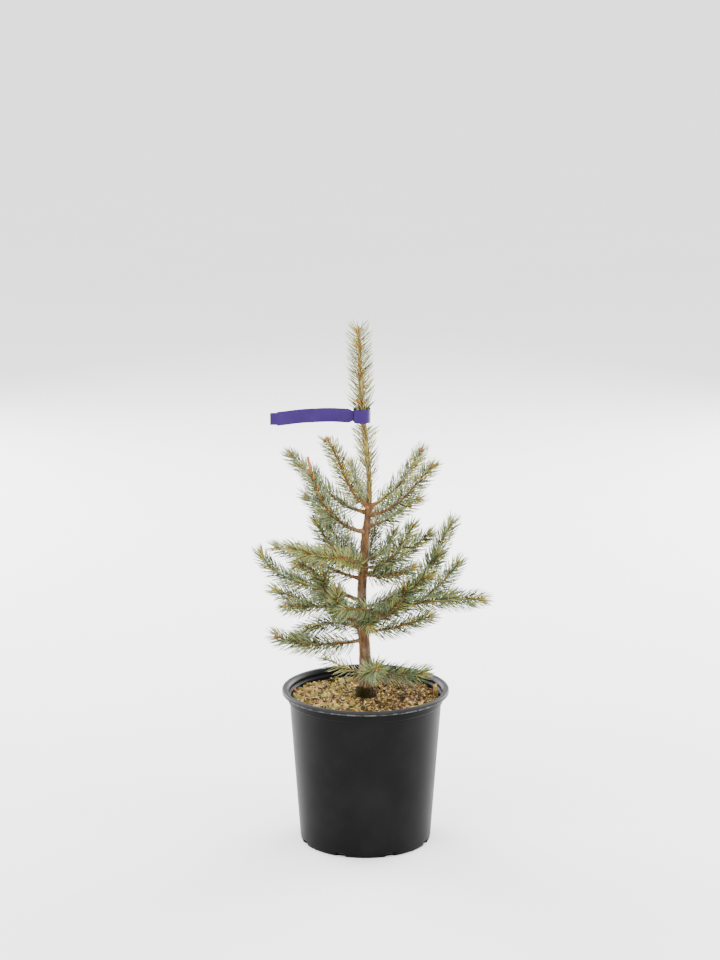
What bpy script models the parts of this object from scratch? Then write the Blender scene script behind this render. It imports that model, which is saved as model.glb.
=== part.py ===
"""A young blue spruce in a nursery pot.

A black pot filled with bark compost carries one trunk that runs whole to its tip.
Boughs leave the trunk in whorls. Each ends where it enters its mass of needles, and
each mass is one solid: a stem, the twigs that branch from it, and needles that stand
out of them along a spiral. A needle is shortened or skipped where it would leave the
space of its own mass. A wrap label is looped round the leader.

Metres, +Z up. The origin is the middle of the pot's flat underside, and the photo's
camera looks along +Y. Azimuths turn from +X (right) through +Y (away from the camera).
"""
import math
import random

import bmesh
import bpy
import numpy as np

CLEAR = 0.0003

# Pot: a turned shell with a rolled lip, a band under it and drain holes in its foot
POT_HEIGHT = 0.216
FOOT_RADIUS = 0.090
SHOULDER_RADIUS = 0.1045
SHOULDER_HEIGHT = 0.198
BAND_RADIUS = 0.1072
LIP_RADIUS = 0.115
LIP_INNER_RADIUS = 0.1085
LIP_DROP = 0.006
WALL = 0.002
FLOOR = 0.003
LEDGE = 0.206
POT_STEPS = 40
DRAIN_HOLES = 8
DRAIN_WIDTH = 0.014
DRAIN_HEIGHT = 0.006

# Compost: level at the trunk, rising towards the front, with a lumpy top
SOIL_HEIGHT = 0.202
SOIL_RISE = 0.03
SOIL_LUMP = 0.0012
SOIL_RINGS = 7
TRUNK_SEAT = 0.020

# Trunk: height, lean to the right, lean to the back, radius
TRUNK = (
    (0.202, 0.000, 0.000, 0.0088),
    (0.270, -0.001, 0.001, 0.0080),
    (0.330, -0.005, -0.001, 0.0068),
    (0.420, -0.001, -0.002, 0.0058),
    (0.490, 0.005, 0.001, 0.0038),
    (0.600, -0.004, 0.002, 0.0032),
    (0.716, -0.0095, 0.000, 0.0012),
)
TRUNK_SIDES = 14
TRUNK_RINGS = 30
FLARE = 0.004
FLARE_REACH = 0.016
ROOT_LOBES = 5

# Leader: the needles round the top of the trunk stand in a thin sleeve
SLEEVE_FOOT = 0.478
SLEEVE_TOP = 0.712
SLEEVE_WALL = 0.0014
SLEEVE_SIDES = 8
SLEEVE_RINGS = 12
LEADER_STEP = 0.0036

# Wrap label on the leader
LABEL_WIDTH = 0.019
LABEL_TAB_WIDTH = 0.0165
LABEL_THICK = 0.0006
LABEL_END = -0.1285
LABEL_TAB = 0.0095
LABEL_LIFT = 0.005
LABEL_HEIGHT = 0.597
LABEL_FRONT = -0.012
LOOP_RADIUS = 0.0125
LOOP_CENTRE = (-0.0055, -0.001)
LOOP_STEPS = 22
LOOP_SWEEP = 325.0

# Limbs: what carries each, the height on the trunk or the share along that limb,
# azimuth, turn, (rise at the root, in the middle, at the tip), length
LIMBS = {
    "upper_left_front": ("trunk", 0.437, 210, 0, (10, 55, 80), 0.155),
    "upper_left_back": ("trunk", 0.464, 162, 0, (0, 40, 35), 0.135),
    "upper_left_inner": ("trunk", 0.472, 223, 0, (25, 62, 48), 0.130),
    "upper_right_front": ("trunk", 0.461, 330, 5, (5, 45, 45), 0.127),
    "upper_right_back": ("trunk", 0.472, 33, 0, (10, 40, 60), 0.112),
    "upper_right_low": ("trunk", 0.446, 8, 0, (-5, 35, 20), 0.080),
    "upper_back": ("trunk", 0.470, 106, 5, (0, 35, 45), 0.090),
    "mid_back_left": ("trunk", 0.384, 146, 0, (15, 57, 20), 0.134),
    "mid_left": ("trunk", 0.384, 202, 5, (20, 50, 62), 0.105),
    "mid_left_front": ("trunk", 0.378, 262, -78, (50, 16, 27), 0.150),
    "mid_left_far": ("trunk", 0.371, 172, 0, (10, 22, 15), 0.126),
    "mid_right_front": ("trunk", 0.388, 338, -10, (-5, 48, 61), 0.105),
    "mid_right": ("trunk", 0.379, 12, 0, (-3, 35, 33), 0.108),
    "mid_right_inner": ("trunk", 0.397, 53, 0, (-5, 16, 68), 0.080),
    "mid_right_low": ("trunk", 0.377, 318, 0, (5, 14, 35), 0.097),
    "mid_back": ("trunk", 0.383, 108, 0, (20, 20, 32), 0.075),
    "mid_back_right": ("trunk", 0.386, 76, 0, (10, 40, 45), 0.105),
    "low_right_near": ("trunk", 0.311, 337, -25, (-2, 49, 16), 0.145),
    "low_right_far": ("low_right_near", 0.30, 356, -5, (31, 8, 4), 0.131),
    "low_right_mid": ("low_right_far", 0.30, 23, 0, (25, 39, 51), 0.083),
    "low_right_high": ("low_right_near", 0.30, 29, 0, (27, 53, 60), 0.156),
    "low_front": ("low_right_near", 0.25, 238, -10, (18, 22, 0), 0.099),
    "low_right_short": ("trunk", 0.331, 350, 0, (11, 24, 23), 0.062),
    "low_left_near": ("trunk", 0.312, 211, 25, (2, 57, 3), 0.166),
    "low_left_low": ("low_left_near", 0.35, 191, -5, (-19, 26, 15), 0.086),
    "low_left_under": ("low_left_low", 0.30, 221, 0, (-4, 15, 0), 0.053),
    "low_left_centre": ("low_left_near", 0.25, 264, 5, (12, 38, 72), 0.080),
    "low_left_far": ("trunk", 0.338, 170, -5, (29, 12, 61), 0.158),
    "low_back_left": ("trunk", 0.306, 128, 0, (5, 15, 5), 0.110),
    "low_back_right": ("trunk", 0.304, 62, 0, (5, 10, 10), 0.105),
    "foot_left_long": ("trunk", 0.284, 204, -5, (-2, 6, 29), 0.131),
    "foot_left_back": ("trunk", 0.297, 168, 5, (31, -9, -37), 0.100),
    "foot_right": ("trunk", 0.296, 339, 0, (7, 19, 24), 0.103),
    "foot_front": ("trunk", 0.318, 280, 0, (14, 4, -16), 0.067),
    "foot_back": ("trunk", 0.290, 95, 0, (0, 5, 10), 0.085),
    "base_left": ("trunk", 0.238, 152, 0, (-11, 14, 11), 0.064),
    "base_front": ("trunk", 0.236, 281, 0, (17, 21, 23), 0.087),
    "base_right": ("trunk", 0.237, 340, 0, (13, 0, 26), 0.085),
}
# Short limbs whose stem meets the trunk itself
WITHOUT_BOUGH = (
    "upper_right_low", "upper_back", "mid_right_inner", "mid_back", "low_right_short",
    "foot_front", "foot_back", "base_left", "base_front", "base_right",
)
LIMB_STEPS = 30
TIP_RADIUS = 0.0009
TAPER = 0.013
BOUGH_SHARE = 0.20
BOUGH_SIDES = 7
BOUGH_RINGS = 5
CORE_SIDES = 5
CORE_EXTRA = 0.0006
CORE_RING_STEP = 0.022

# Needles
NEEDLE_LENGTH = 0.018
SHORTEST_NEEDLE = 0.007
NEEDLE_HALF_WIDTH = 0.0014
NEEDLE_STEP = 0.0085
GOLDEN_ANGLE = math.radians(137.5)
NEEDLE_LEAN_ROOT = 62.0
NEEDLE_LEAN_TIP = 38.0
FIRST_NEEDLE = 0.004
TIP_NEEDLES = 3
TIP_LEAN = 24.0
SEED = 7

COLOURS = {
    "pot": ((0.030, 0.030, 0.031, 1.0), 0.55),
    "compost": ((0.36, 0.22, 0.10, 1.0), 0.95),
    "bark": ((0.23, 0.13, 0.065, 1.0), 0.85),
    "needles": ((0.13, 0.20, 0.13, 1.0), 0.60),
    "label": ((0.13, 0.10, 0.40, 1.0), 0.40),
}


def smooth(stations, place):
    """Cubic curve through (place, value, ...) rows: each value column at that place."""
    rows = np.array(stations)
    places, values = rows[:, 0], rows[:, 1:]
    slopes = np.gradient(values, places, axis=0)
    span = int(np.clip(np.searchsorted(places, place) - 1, 0, len(places) - 2))
    width = places[span + 1] - places[span]
    t = (place - places[span]) / width
    return (
        (2 * t**3 - 3 * t**2 + 1) * values[span]
        + (t**3 - 2 * t**2 + t) * width * slopes[span]
        + (3 * t**2 - 2 * t**3) * values[span + 1]
        + (t**3 - t**2) * width * slopes[span + 1]
    )


def trunk_point(height):
    lean = smooth(TRUNK, height)
    return np.array([lean[0], lean[1], height])


def trunk_radius(height):
    flare = FLARE * math.exp(-(height - TRUNK[0][0]) / FLARE_REACH)
    return float(smooth(TRUNK, height)[2]) + flare


def unit(vector):
    return vector / np.linalg.norm(vector)


def limb_path(start, azimuth, turn, rises, length):
    """Points of a limb whose azimuth turns evenly and whose rise is a parabola."""
    t = (np.arange(LIMB_STEPS) + 0.5) / LIMB_STEPS
    heading = np.radians(azimuth + turn * t)
    root, middle, tip = rises
    rise = np.radians(root * (1 - t) * (1 - 2 * t) + 4 * middle * t * (1 - t) + tip * t * (2 * t - 1))
    steps = np.stack([np.cos(heading) * np.cos(rise), np.sin(heading) * np.cos(rise), np.sin(rise)], 1)
    return np.vstack([start, start + np.cumsum(steps, 0) * length / LIMB_STEPS])


def along(path, share):
    """Point of the path at a share of its length, and the direction there."""
    places = np.linspace(0.0, 1.0, len(path))
    point = np.array([np.interp(share, places, path[:, axis]) for axis in range(3)])
    low = max(share - 0.02, 0.0)
    high = min(share + 0.02, 1.0)
    ends = [np.array([np.interp(s, places, path[:, axis]) for axis in range(3)]) for s in (low, high)]
    return point, unit(ends[1] - ends[0])


def limb_radius(length, share):
    return TIP_RADIUS + TAPER * length * (1.0 - share)


def crosswise(direction):
    """Two unit vectors square to the direction and to each other."""
    helper = np.array([0.0, 0.0, 1.0]) if abs(direction[2]) < 0.9 else np.array([1.0, 0.0, 0.0])
    first = unit(np.cross(direction, helper))
    return first, np.cross(direction, first)


def tube_mesh(name, path, shares, radii, sides):
    """Closed tapering tube along the path, with flat ends square to it."""
    rings = []
    first = None
    for share, radius in zip(shares, radii):
        centre, direction = along(path, share)
        if first is None:
            first, second = crosswise(direction)
        else:
            first = unit(first - direction * first.dot(direction))
            second = np.cross(direction, first)
        angles = [math.tau * step / sides for step in range(sides)]
        rings.append([centre + radius * (math.cos(a) * first + math.sin(a) * second) for a in angles])
    return ring_mesh(name, rings)


def ring_mesh(name, rings, through=False):
    """Closed mesh over rings of points: capped at both ends, or joined last to first."""
    shape = bmesh.new()
    loops = [[shape.verts.new(point) for point in ring] for ring in rings]
    pairs = list(zip(loops, loops[1:]))
    if through:
        pairs.append((loops[-1], loops[0]))
    else:
        shape.faces.new(loops[0])
        shape.faces.new(loops[-1])
    for lower, upper in pairs:
        for step in range(len(lower)):
            after = (step + 1) % len(lower)
            shape.faces.new((lower[step], lower[after], upper[after], upper[step]))
    bmesh.ops.recalc_face_normals(shape, faces=shape.faces[:])
    mesh = bpy.data.meshes.new(name)
    shape.to_mesh(mesh)
    shape.free()
    return mesh


def turned_mesh(name, profile, steps):
    """Closed mesh of a profile (radius, height) spun round the Z axis."""
    shape = bmesh.new()
    corners = [shape.verts.new((radius, 0.0, height)) for radius, height in profile]
    edges = [shape.edges.new(pair) for pair in zip(corners, corners[1:])]
    bmesh.ops.spin(
        shape, geom=corners + edges, cent=(0, 0, 0), axis=(0, 0, 1), angle=math.tau, steps=steps, use_merge=True
    )
    bmesh.ops.remove_doubles(shape, verts=shape.verts[:], dist=1e-6)
    bmesh.ops.recalc_face_normals(shape, faces=shape.faces[:])
    mesh = bpy.data.meshes.new(name)
    shape.to_mesh(mesh)
    shape.free()
    return mesh


def place(name, mesh, colour, origin=(0.0, 0.0, 0.0)):
    """Named object of a mesh given in world points, standing at its own origin."""
    for corner in mesh.vertices:
        corner.co = [value - shift for value, shift in zip(corner.co, origin)]
    item = bpy.data.objects.new(name, mesh)
    item.location = origin
    bpy.context.scene.collection.objects.link(item)
    item.parent = bpy.data.objects["potted_spruce"]
    tint, roughness = COLOURS[colour]
    material = bpy.data.materials.new(name)
    material.use_nodes = True
    shader = material.node_tree.nodes["Principled BSDF"]
    shader.inputs["Base Color"].default_value = tint
    shader.inputs["Roughness"].default_value = roughness
    shader.inputs["Metallic"].default_value = 0.0
    mesh.materials.append(material)
    return item


def wall_radius(height):
    """Outer radius of the pot's tapering body."""
    share = height / SHOULDER_HEIGHT
    return FOOT_RADIUS + (SHOULDER_RADIUS - FOOT_RADIUS) * share


def inner_radius(height):
    """Inner radius of the pot below its ledge."""
    share = (height - FLOOR) / (LEDGE - FLOOR)
    return FOOT_RADIUS - WALL + (SHOULDER_RADIUS - FOOT_RADIUS) * share


def drain_cutter():
    """Boxes round the foot, one for each drain hole."""
    shape = bmesh.new()
    for hole in range(DRAIN_HOLES):
        angle = math.tau * (hole + 0.5) / DRAIN_HOLES
        made = bmesh.ops.create_cube(shape, size=1.0)["verts"]
        bmesh.ops.scale(shape, verts=made, vec=(0.012, DRAIN_WIDTH, 2 * DRAIN_HEIGHT))
        bmesh.ops.translate(shape, verts=made, vec=(FOOT_RADIUS, 0, 0))
        spin = [[math.cos(angle), -math.sin(angle), 0], [math.sin(angle), math.cos(angle), 0], [0, 0, 1]]
        for corner in made:
            corner.co = np.array(spin) @ np.array(corner.co)
    mesh = bpy.data.meshes.new("drain_cutter")
    shape.to_mesh(mesh)
    shape.free()
    cutter = bpy.data.objects.new("drain_cutter", mesh)
    cutter.hide_render = True
    cutter.display_type = "WIRE"
    bpy.context.scene.collection.objects.link(cutter)
    return cutter


def make_pot():
    band_foot = SHOULDER_HEIGHT + 0.0015
    lip_foot = POT_HEIGHT - LIP_DROP
    inner_band = BAND_RADIUS - WALL
    profile = [
        (0, 0), (FOOT_RADIUS - 0.004, 0), (FOOT_RADIUS - 0.001, 0.0015), (wall_radius(0.005), 0.005),
        (SHOULDER_RADIUS, SHOULDER_HEIGHT), (BAND_RADIUS - 0.0004, band_foot), (BAND_RADIUS, lip_foot),
        (LIP_RADIUS - 0.001, lip_foot), (LIP_RADIUS, lip_foot + 0.0012), (LIP_RADIUS, POT_HEIGHT - 0.0015),
        (LIP_RADIUS - 0.0015, POT_HEIGHT), (LIP_INNER_RADIUS + 0.0015, POT_HEIGHT),
        (LIP_INNER_RADIUS, POT_HEIGHT - 0.0015), (inner_band, POT_HEIGHT - 0.004), (inner_band, LEDGE + 0.001),
        (inner_radius(LEDGE), LEDGE), (inner_radius(FLOOR), FLOOR), (0, FLOOR),
    ]
    pot = place("pot", turned_mesh("pot", profile, POT_STEPS), "pot")
    holes = pot.modifiers.new("drain_holes", "BOOLEAN")
    holes.object = drain_cutter()
    holes.solver = "EXACT"


def make_compost():
    """Plug that fills the pot, level under the trunk and lumpy round it."""
    lumps = random.Random(SEED)
    floor = FLOOR + CLEAR
    foot = inner_radius(floor) - 2 * CLEAR
    edge = inner_radius(SOIL_HEIGHT) - 2 * CLEAR
    angles = [math.tau * step / POT_STEPS for step in range(POT_STEPS)]
    level = SOIL_HEIGHT - CLEAR
    rings = [[(foot * math.cos(a), foot * math.sin(a), floor) for a in angles]]
    for ring in range(SOIL_RINGS):
        radius = edge + (TRUNK_SEAT - edge) * ring / (SOIL_RINGS - 1)
        slope = SOIL_RISE * max(radius - TRUNK_SEAT, 0)
        lump = SOIL_LUMP if 0 < ring < SOIL_RINGS - 1 else 0.0
        rings.append([
            (radius * math.cos(a), radius * math.sin(a), level - slope * math.sin(a) + lumps.uniform(-lump, lump))
            for a in angles
        ])
    place("compost", ring_mesh("compost", rings), "compost")


def make_trunk():
    """Trunk from its flat cut at the compost to the tip, with lobes in its root flare."""
    rings = []
    foot, tip = TRUNK[0][0], TRUNK[-1][0]
    for ring in range(TRUNK_RINGS + 1):
        height = foot + (tip - foot) * (ring / TRUNK_RINGS) ** 1.15
        centre = trunk_point(height)
        lobe = 0.10 * math.exp(-(height - foot) / FLARE_REACH)
        points = []
        for side in range(TRUNK_SIDES):
            angle = math.tau * side / TRUNK_SIDES
            radius = trunk_radius(height) * (1 - lobe + lobe * math.cos(ROOT_LOBES * angle))
            points.append(centre + radius * np.array([math.cos(angle), math.sin(angle), 0]))
        rings.append(points)
    place("trunk", ring_mesh("trunk", rings), "bark", tuple(trunk_point(foot)))


def label_route():
    """Middle line of the label seen from above: tail from its far end, then the loop."""
    start_angle = 200.0
    tail = [np.array([LABEL_END, LABEL_FRONT]), np.array([LABEL_END + LABEL_TAB, LABEL_FRONT])]
    loop = []
    for step in range(LOOP_STEPS + 1):
        angle = math.radians(start_angle + LOOP_SWEEP * step / LOOP_STEPS)
        radius = LOOP_RADIUS - 0.001 * step / LOOP_STEPS
        loop.append(np.array(LOOP_CENTRE) + radius * np.array([math.cos(angle), math.sin(angle)]))
    for share in np.linspace(0.12, 0.9, 7):
        bow = 0.002 * math.sin(math.pi * share)
        tail.append(tail[1] * (1 - share) + loop[0] * share - np.array([0.0, bow]))
    return tail + loop, len(tail)


def make_label():
    """Thin strip on edge: its tail is arched and ends in a narrower tab."""
    route, tail_count = label_route()
    count = len(route)
    rings = []
    for step, here in enumerate(route):
        ahead = unit(route[min(step + 1, count - 1)] - route[max(step - 1, 0)])
        across = np.array([-ahead[1], ahead[0]]) * LABEL_THICK / 2
        reach = min(step / tail_count, 1.0)
        middle = LABEL_HEIGHT + LABEL_LIFT * math.sin(0.8 * math.pi * reach) - 0.001
        width = LABEL_TAB_WIDTH if step < 2 else LABEL_WIDTH
        low, high = middle - width / 2, middle + width / 2
        rings.append([
            (*(here - across), low), (*(here + across), low), (*(here + across), high), (*(here - across), high)
        ])
    place("wrap_label", ring_mesh("wrap_label", rings), "label")


def spike_mesh(root, outward, direction, half_width, length):
    """Needle: a three-sided point whose root triangle faces outward."""
    first, second = crosswise(outward)
    corners = [
        root + half_width * (math.cos(a) * first + math.sin(a) * second)
        for a in (0.0, math.tau / 3, 2 * math.tau / 3)
    ]
    corners.append(root + direction * length)
    mesh = bpy.data.meshes.new("needle")
    mesh.from_pydata([tuple(c) for c in corners], [], [(0, 2, 1), (0, 1, 3), (1, 2, 3), (2, 0, 3)])
    shape = bmesh.new()
    shape.from_mesh(mesh)
    bmesh.ops.recalc_face_normals(shape, faces=shape.faces[:])
    shape.to_mesh(mesh)
    shape.free()
    return mesh


def nearest(points, axis_points):
    return np.linalg.norm(points[:, None, :] - axis_points[None, :, :], axis=2).min(1)


def keeps_clear(points, half_widths, own, others, on_leader):
    """Whether needle points keep to their mass's space, off the trunk, pot and label."""
    if (nearest(points, others) - nearest(points, own) < 2 * half_widths + CLEAR).any():
        return False
    for point, half_width in zip(points, half_widths):
        height = point[2]
        room = half_width + CLEAR
        if height < SOIL_HEIGHT + 0.004:
            return False
        if height < POT_HEIGHT + 0.002 and math.hypot(point[0], point[1]) > SHOULDER_RADIUS - 0.004:
            return False
        if not on_leader and height < TRUNK[-1][0]:
            away = math.dist(point[:2], trunk_point(height)[:2])
            if away < trunk_radius(height) + room + CLEAR:
                return False
        in_label = abs(height - LABEL_HEIGHT) < LABEL_WIDTH / 2 + 0.003
        loop_room = LOOP_RADIUS - 0.001 - LABEL_THICK / 2
        if in_label and math.dist(point[:2], LOOP_CENTRE) > loop_room - room:
            return False
    return True


def needle_mesh(root, outward, direction, half_width, own, others, on_leader=False):
    """The longest needle that keeps clear, or None where even a short one does not."""
    for length in np.arange(NEEDLE_LENGTH, SHORTEST_NEEDLE, -0.0005):
        shares = np.array([0.2, 0.4, 0.6, 0.8, 1.0])
        points = root + direction * (shares * length)[:, None]
        if keeps_clear(points, half_width * (1 - shares), own, others, on_leader):
            return spike_mesh(root, outward, direction, half_width, length)
    return None


def shoot_needles(path, length, first_share, own, others, twist):
    """Needles along a spiral round one shoot, and a few that fan round its tip."""
    meshes = []
    start = first_share + FIRST_NEEDLE / length
    count = max(int((1.0 - start) * length / NEEDLE_STEP), 2)
    for step in range(count):
        share = start + (0.98 - start) * step / count
        lean = math.radians(NEEDLE_LEAN_ROOT + (NEEDLE_LEAN_TIP - NEEDLE_LEAN_ROOT) * step / count)
        meshes.append(shoot_needle(path, length, share, twist + step * GOLDEN_ANGLE, lean, own, others))
    for step in range(TIP_NEEDLES):
        around = twist + math.tau * step / TIP_NEEDLES
        meshes.append(shoot_needle(path, length, 0.985, around, math.radians(TIP_LEAN), own, others))
    return [mesh for mesh in meshes if mesh]


def shoot_needle(path, length, share, around, lean, own, others):
    root, forward = along(path, share)
    first, second = crosswise(forward)
    outward = math.cos(around) * first + math.sin(around) * second
    direction = math.cos(lean) * forward + math.sin(lean) * outward
    half_width = min(NEEDLE_HALF_WIDTH, 0.85 * (limb_radius(length, share) + CORE_EXTRA))
    return needle_mesh(root, outward, direction, half_width, own, others)


def join(name, core, extras, origin):
    """One solid of a core and everything that stands in it, by one union."""
    group = bpy.data.collections.new(name + "_parts")
    bpy.context.scene.collection.children.link(group)
    for number, mesh in enumerate(extras):
        group.objects.link(bpy.data.objects.new(f"{name}_part_{number}", mesh))
    body = place(name, core, "needles")
    union = body.modifiers.new("union", "BOOLEAN")
    union.operation = "UNION"
    union.operand_type = "COLLECTION"
    union.collection = group
    union.solver = "EXACT"
    depsgraph = bpy.context.evaluated_depsgraph_get()
    joined = bpy.data.meshes.new_from_object(body.evaluated_get(depsgraph), depsgraph=depsgraph)
    joined.materials.clear()
    for part in list(group.objects):
        bpy.data.objects.remove(part)
    bpy.data.collections.remove(group)
    bpy.data.objects.remove(body)
    return place(name, outer_shell(joined), "needles", origin)


def outer_shell(mesh):
    """The mesh without sealed hollows and loose scraps: its largest island alone."""
    shape = bmesh.new()
    shape.from_mesh(mesh)
    waiting = set(shape.faces)
    islands = []
    while waiting:
        stack = [waiting.pop()]
        island = []
        while stack:
            face = stack.pop()
            island.append(face)
            for edge in face.edges:
                for other in edge.link_faces:
                    if other in waiting:
                        waiting.discard(other)
                        stack.append(other)
        islands.append(island)
    islands.sort(key=lambda island: sum(face.calc_area() for face in island))
    scraps = [face for island in islands[:-1] for face in island]
    if scraps:
        bmesh.ops.delete(shape, geom=scraps, context="FACES")
    shape.to_mesh(mesh)
    shape.free()
    return mesh


def family(name):
    """Name of the limb on the trunk that a limb belongs to."""
    carrier = LIMBS[name][0]
    return name if carrier == "trunk" else family(carrier)


def lay_out():
    """Path of each limb, from the trunk's skin or from the axis of its carrier."""
    paths = {}
    for name, (carrier, place_on, azimuth, turn, rises, length) in LIMBS.items():
        if carrier == "trunk":
            start = trunk_point(place_on)
        else:
            start = along(paths[carrier], place_on)[0]
        paths[name] = limb_path(start, azimuth, turn, rises, length)
    return paths


def first_share(name, path, extra=0.0):
    """Share of a limb on the trunk at which its end disc is clear of the trunk's skin."""
    length = LIMBS[name][5]
    for share in np.arange(0.0, BOUGH_SHARE, 0.0005):
        centre, direction = along(path, share)
        first, second = crosswise(direction)
        angles = np.linspace(0.0, math.tau, 13)[:, None]
        ring = centre + (limb_radius(length, share) + extra) * (np.cos(angles) * first + np.sin(angles) * second)
        gaps = [math.dist(point[:2], trunk_point(point[2])[:2]) - trunk_radius(point[2]) for point in ring]
        if min(gaps) > CLEAR:
            return share
    raise ValueError(name + " never leaves the trunk")


def make_bough(name, path):
    length = LIMBS[name][5]
    shares = np.linspace(first_share(name, path), BOUGH_SHARE, BOUGH_RINGS)
    radii = [limb_radius(length, share) for share in shares]
    mesh = tube_mesh(name, path, shares, radii, BOUGH_SIDES)
    place("bough_" + name, mesh, "bark", tuple(along(path, shares[0])[0]))


def core_tube(name, path, length, start):
    count = max(int((1.0 - start) * length / CORE_RING_STEP), 2) + 1
    shares = np.linspace(start, 1.0, count)
    radii = [limb_radius(length, share) + CORE_EXTRA for share in shares]
    return tube_mesh(name, path, shares, radii, CORE_SIDES)


def make_mass(name, paths, spaces):
    """Stem on from the bough, the limbs it carries, and the needles of them all."""
    own = spaces[name]
    others = np.vstack([points for other, points in spaces.items() if other != name])
    if name in WITHOUT_BOUGH:
        start = first_share(name, paths[name], CORE_EXTRA)
    else:
        start = BOUGH_SHARE + CLEAR / LIMBS[name][5]
    twist = random.Random(name)
    core = None
    extras = []
    for limb in [limb for limb in LIMBS if family(limb) == name]:
        length = LIMBS[limb][5]
        limb_start = start if limb == name else 0.0
        tube = core_tube(limb, paths[limb], length, limb_start)
        if core is None:
            core = tube
        else:
            extras.append(tube)
        clear_share = start if limb == name else 0.08
        turn = twist.uniform(0, math.tau)
        extras += shoot_needles(paths[limb], length, clear_share, own, others, turn)
    join("needles_" + name, core, extras, tuple(along(paths[name], start)[0]))


def make_leader(spaces):
    """Thin sleeve round the top of the trunk, with needles standing out of it."""
    inner, outer = [], []
    for height in np.linspace(SLEEVE_FOOT, SLEEVE_TOP, SLEEVE_RINGS):
        hole = (trunk_radius(height) + CLEAR) / math.cos(math.pi / SLEEVE_SIDES)
        for radius, rings in ((hole, inner), (hole + SLEEVE_WALL, outer)):
            rings.append([
                trunk_point(height) + radius * np.array([math.cos(a), math.sin(a), 0])
                for a in (math.tau * side / SLEEVE_SIDES for side in range(SLEEVE_SIDES))
            ])
    sleeve = ring_mesh("leader", outer + inner[::-1], through=True)
    own = spaces["leader"]
    others = np.vstack([points for name, points in spaces.items() if name != "leader"])
    extras = []
    count = int((SLEEVE_TOP - SLEEVE_FOOT) / LEADER_STEP)
    for step in range(count):
        height = SLEEVE_FOOT + 0.002 + (SLEEVE_TOP - SLEEVE_FOOT - 0.004) * step / (count - 1)
        around = step * GOLDEN_ANGLE
        outward = np.array([math.cos(around), math.sin(around), 0])
        root = trunk_point(height) + outward * (trunk_radius(height) + CLEAR + 0.55 * SLEEVE_WALL)
        lean = math.radians(48 - 22 * step / count)
        direction = math.cos(lean) * np.array([0, 0, 1.0]) + math.sin(lean) * outward
        mesh = needle_mesh(root, outward, direction, 0.0011, own, others, on_leader=True)
        if mesh:
            extras.append(mesh)
    join("needles_leader", sleeve, extras, tuple(trunk_point(SLEEVE_FOOT)))


def build():
    for item in list(bpy.data.objects):
        bpy.data.objects.remove(item)
    frame = bpy.data.objects.new("potted_spruce", None)
    bpy.context.scene.collection.objects.link(frame)
    make_pot()
    make_compost()
    make_trunk()
    make_label()
    paths = lay_out()
    spaces = {}
    for name, path in paths.items():
        spaces.setdefault(family(name), []).append(path)
    spaces = {name: np.vstack(group) for name, group in spaces.items()}
    leader = [trunk_point(height) for height in np.linspace(SLEEVE_FOOT, TRUNK[-1][0], 60)]
    spaces["leader"] = np.array(leader)
    make_leader(spaces)
    for name in spaces:
        if name == "leader":
            continue
        if name not in WITHOUT_BOUGH:
            make_bough(name, paths[name])
        make_mass(name, paths, spaces)


build()
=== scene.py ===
"""Looks of a young blue spruce in a black nursery pot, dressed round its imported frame.

Limbs and needles grow by the same rule as in the part's solids, carried on to needles
of true size. Metres, +Z up, the camera looks along +Y. Azimuths turn from +X (right)
through +Y (away from the camera).
"""
import math
from functools import partial

import bpy
import numpy as np
from bpy.props import FloatProperty, FloatVectorProperty, IntProperty, PointerProperty
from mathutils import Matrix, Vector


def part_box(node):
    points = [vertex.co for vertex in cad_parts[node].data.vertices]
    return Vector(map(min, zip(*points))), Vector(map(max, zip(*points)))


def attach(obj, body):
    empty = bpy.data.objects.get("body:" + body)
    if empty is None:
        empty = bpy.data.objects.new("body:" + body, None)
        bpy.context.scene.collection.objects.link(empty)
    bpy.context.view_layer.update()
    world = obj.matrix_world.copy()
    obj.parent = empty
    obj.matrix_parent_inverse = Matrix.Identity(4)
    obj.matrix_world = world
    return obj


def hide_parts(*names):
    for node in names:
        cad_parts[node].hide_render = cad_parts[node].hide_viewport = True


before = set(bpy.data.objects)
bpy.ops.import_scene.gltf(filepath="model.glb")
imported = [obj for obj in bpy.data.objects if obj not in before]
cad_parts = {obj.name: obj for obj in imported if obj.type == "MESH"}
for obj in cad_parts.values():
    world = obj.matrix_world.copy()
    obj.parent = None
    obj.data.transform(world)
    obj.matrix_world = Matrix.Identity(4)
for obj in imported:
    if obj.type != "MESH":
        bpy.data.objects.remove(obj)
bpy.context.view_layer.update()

bl_info = {
    "name": "Potted young spruce",
    "version": (1, 0, 0),
    "blender": (4, 5, 0),
    "location": "View3D > Sidebar > Spruce",
    "description": "Pot, compost, trunk, boughs, needles, buds and label of a young spruce",
    "category": "Add Mesh",
}

UP = np.array([0.0, 0.0, 1.0])
GOLDEN_ANGLE = math.radians(137.5)
MILLIMETRE = 0.001
NODES = sorted(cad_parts)
_, POT_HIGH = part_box("pot")
TRUNK_LOW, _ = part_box("trunk")

# Pot
SHOULDER_HEIGHT = 0.198
SHOULDER_RADIUS = 0.1045
BAND_RADIUS = 0.1072
LIP_DROP = 0.006
# Outer radius of the lip where the painted highlight line along its lower edge lies
LIP_HIGHLIGHT_RADIUS = 0.1148
LIP_INNER_RADIUS = 0.1085
LEDGE = 0.206
WALL = 0.002
FLOOR = 0.003
DRAIN_HOLES = 8
DRAIN_WIDTH = 0.014
DRAIN_HEIGHT = 0.006
DRAIN_DEPTH = 0.006
POT_COLUMNS = 320

# Compost
SOIL_RISE = 0.03
TRUNK_SEAT = 0.020
# Chip tints: share on the left, share on the right, colour
CHIP_TINTS = {
    "pale": (0.23, 0.13, (0.60, 0.44, 0.180)),
    "ochre": (0.26, 0.22, (0.38, 0.225, 0.060)),
    "brown": (0.19, 0.34, (0.150, 0.070, 0.022)),
    "dark": (0.15, 0.26, (0.024, 0.014, 0.006)),
    "mossy": (0.22, 0.05, (0.26, 0.245, 0.040)),
}

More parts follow.
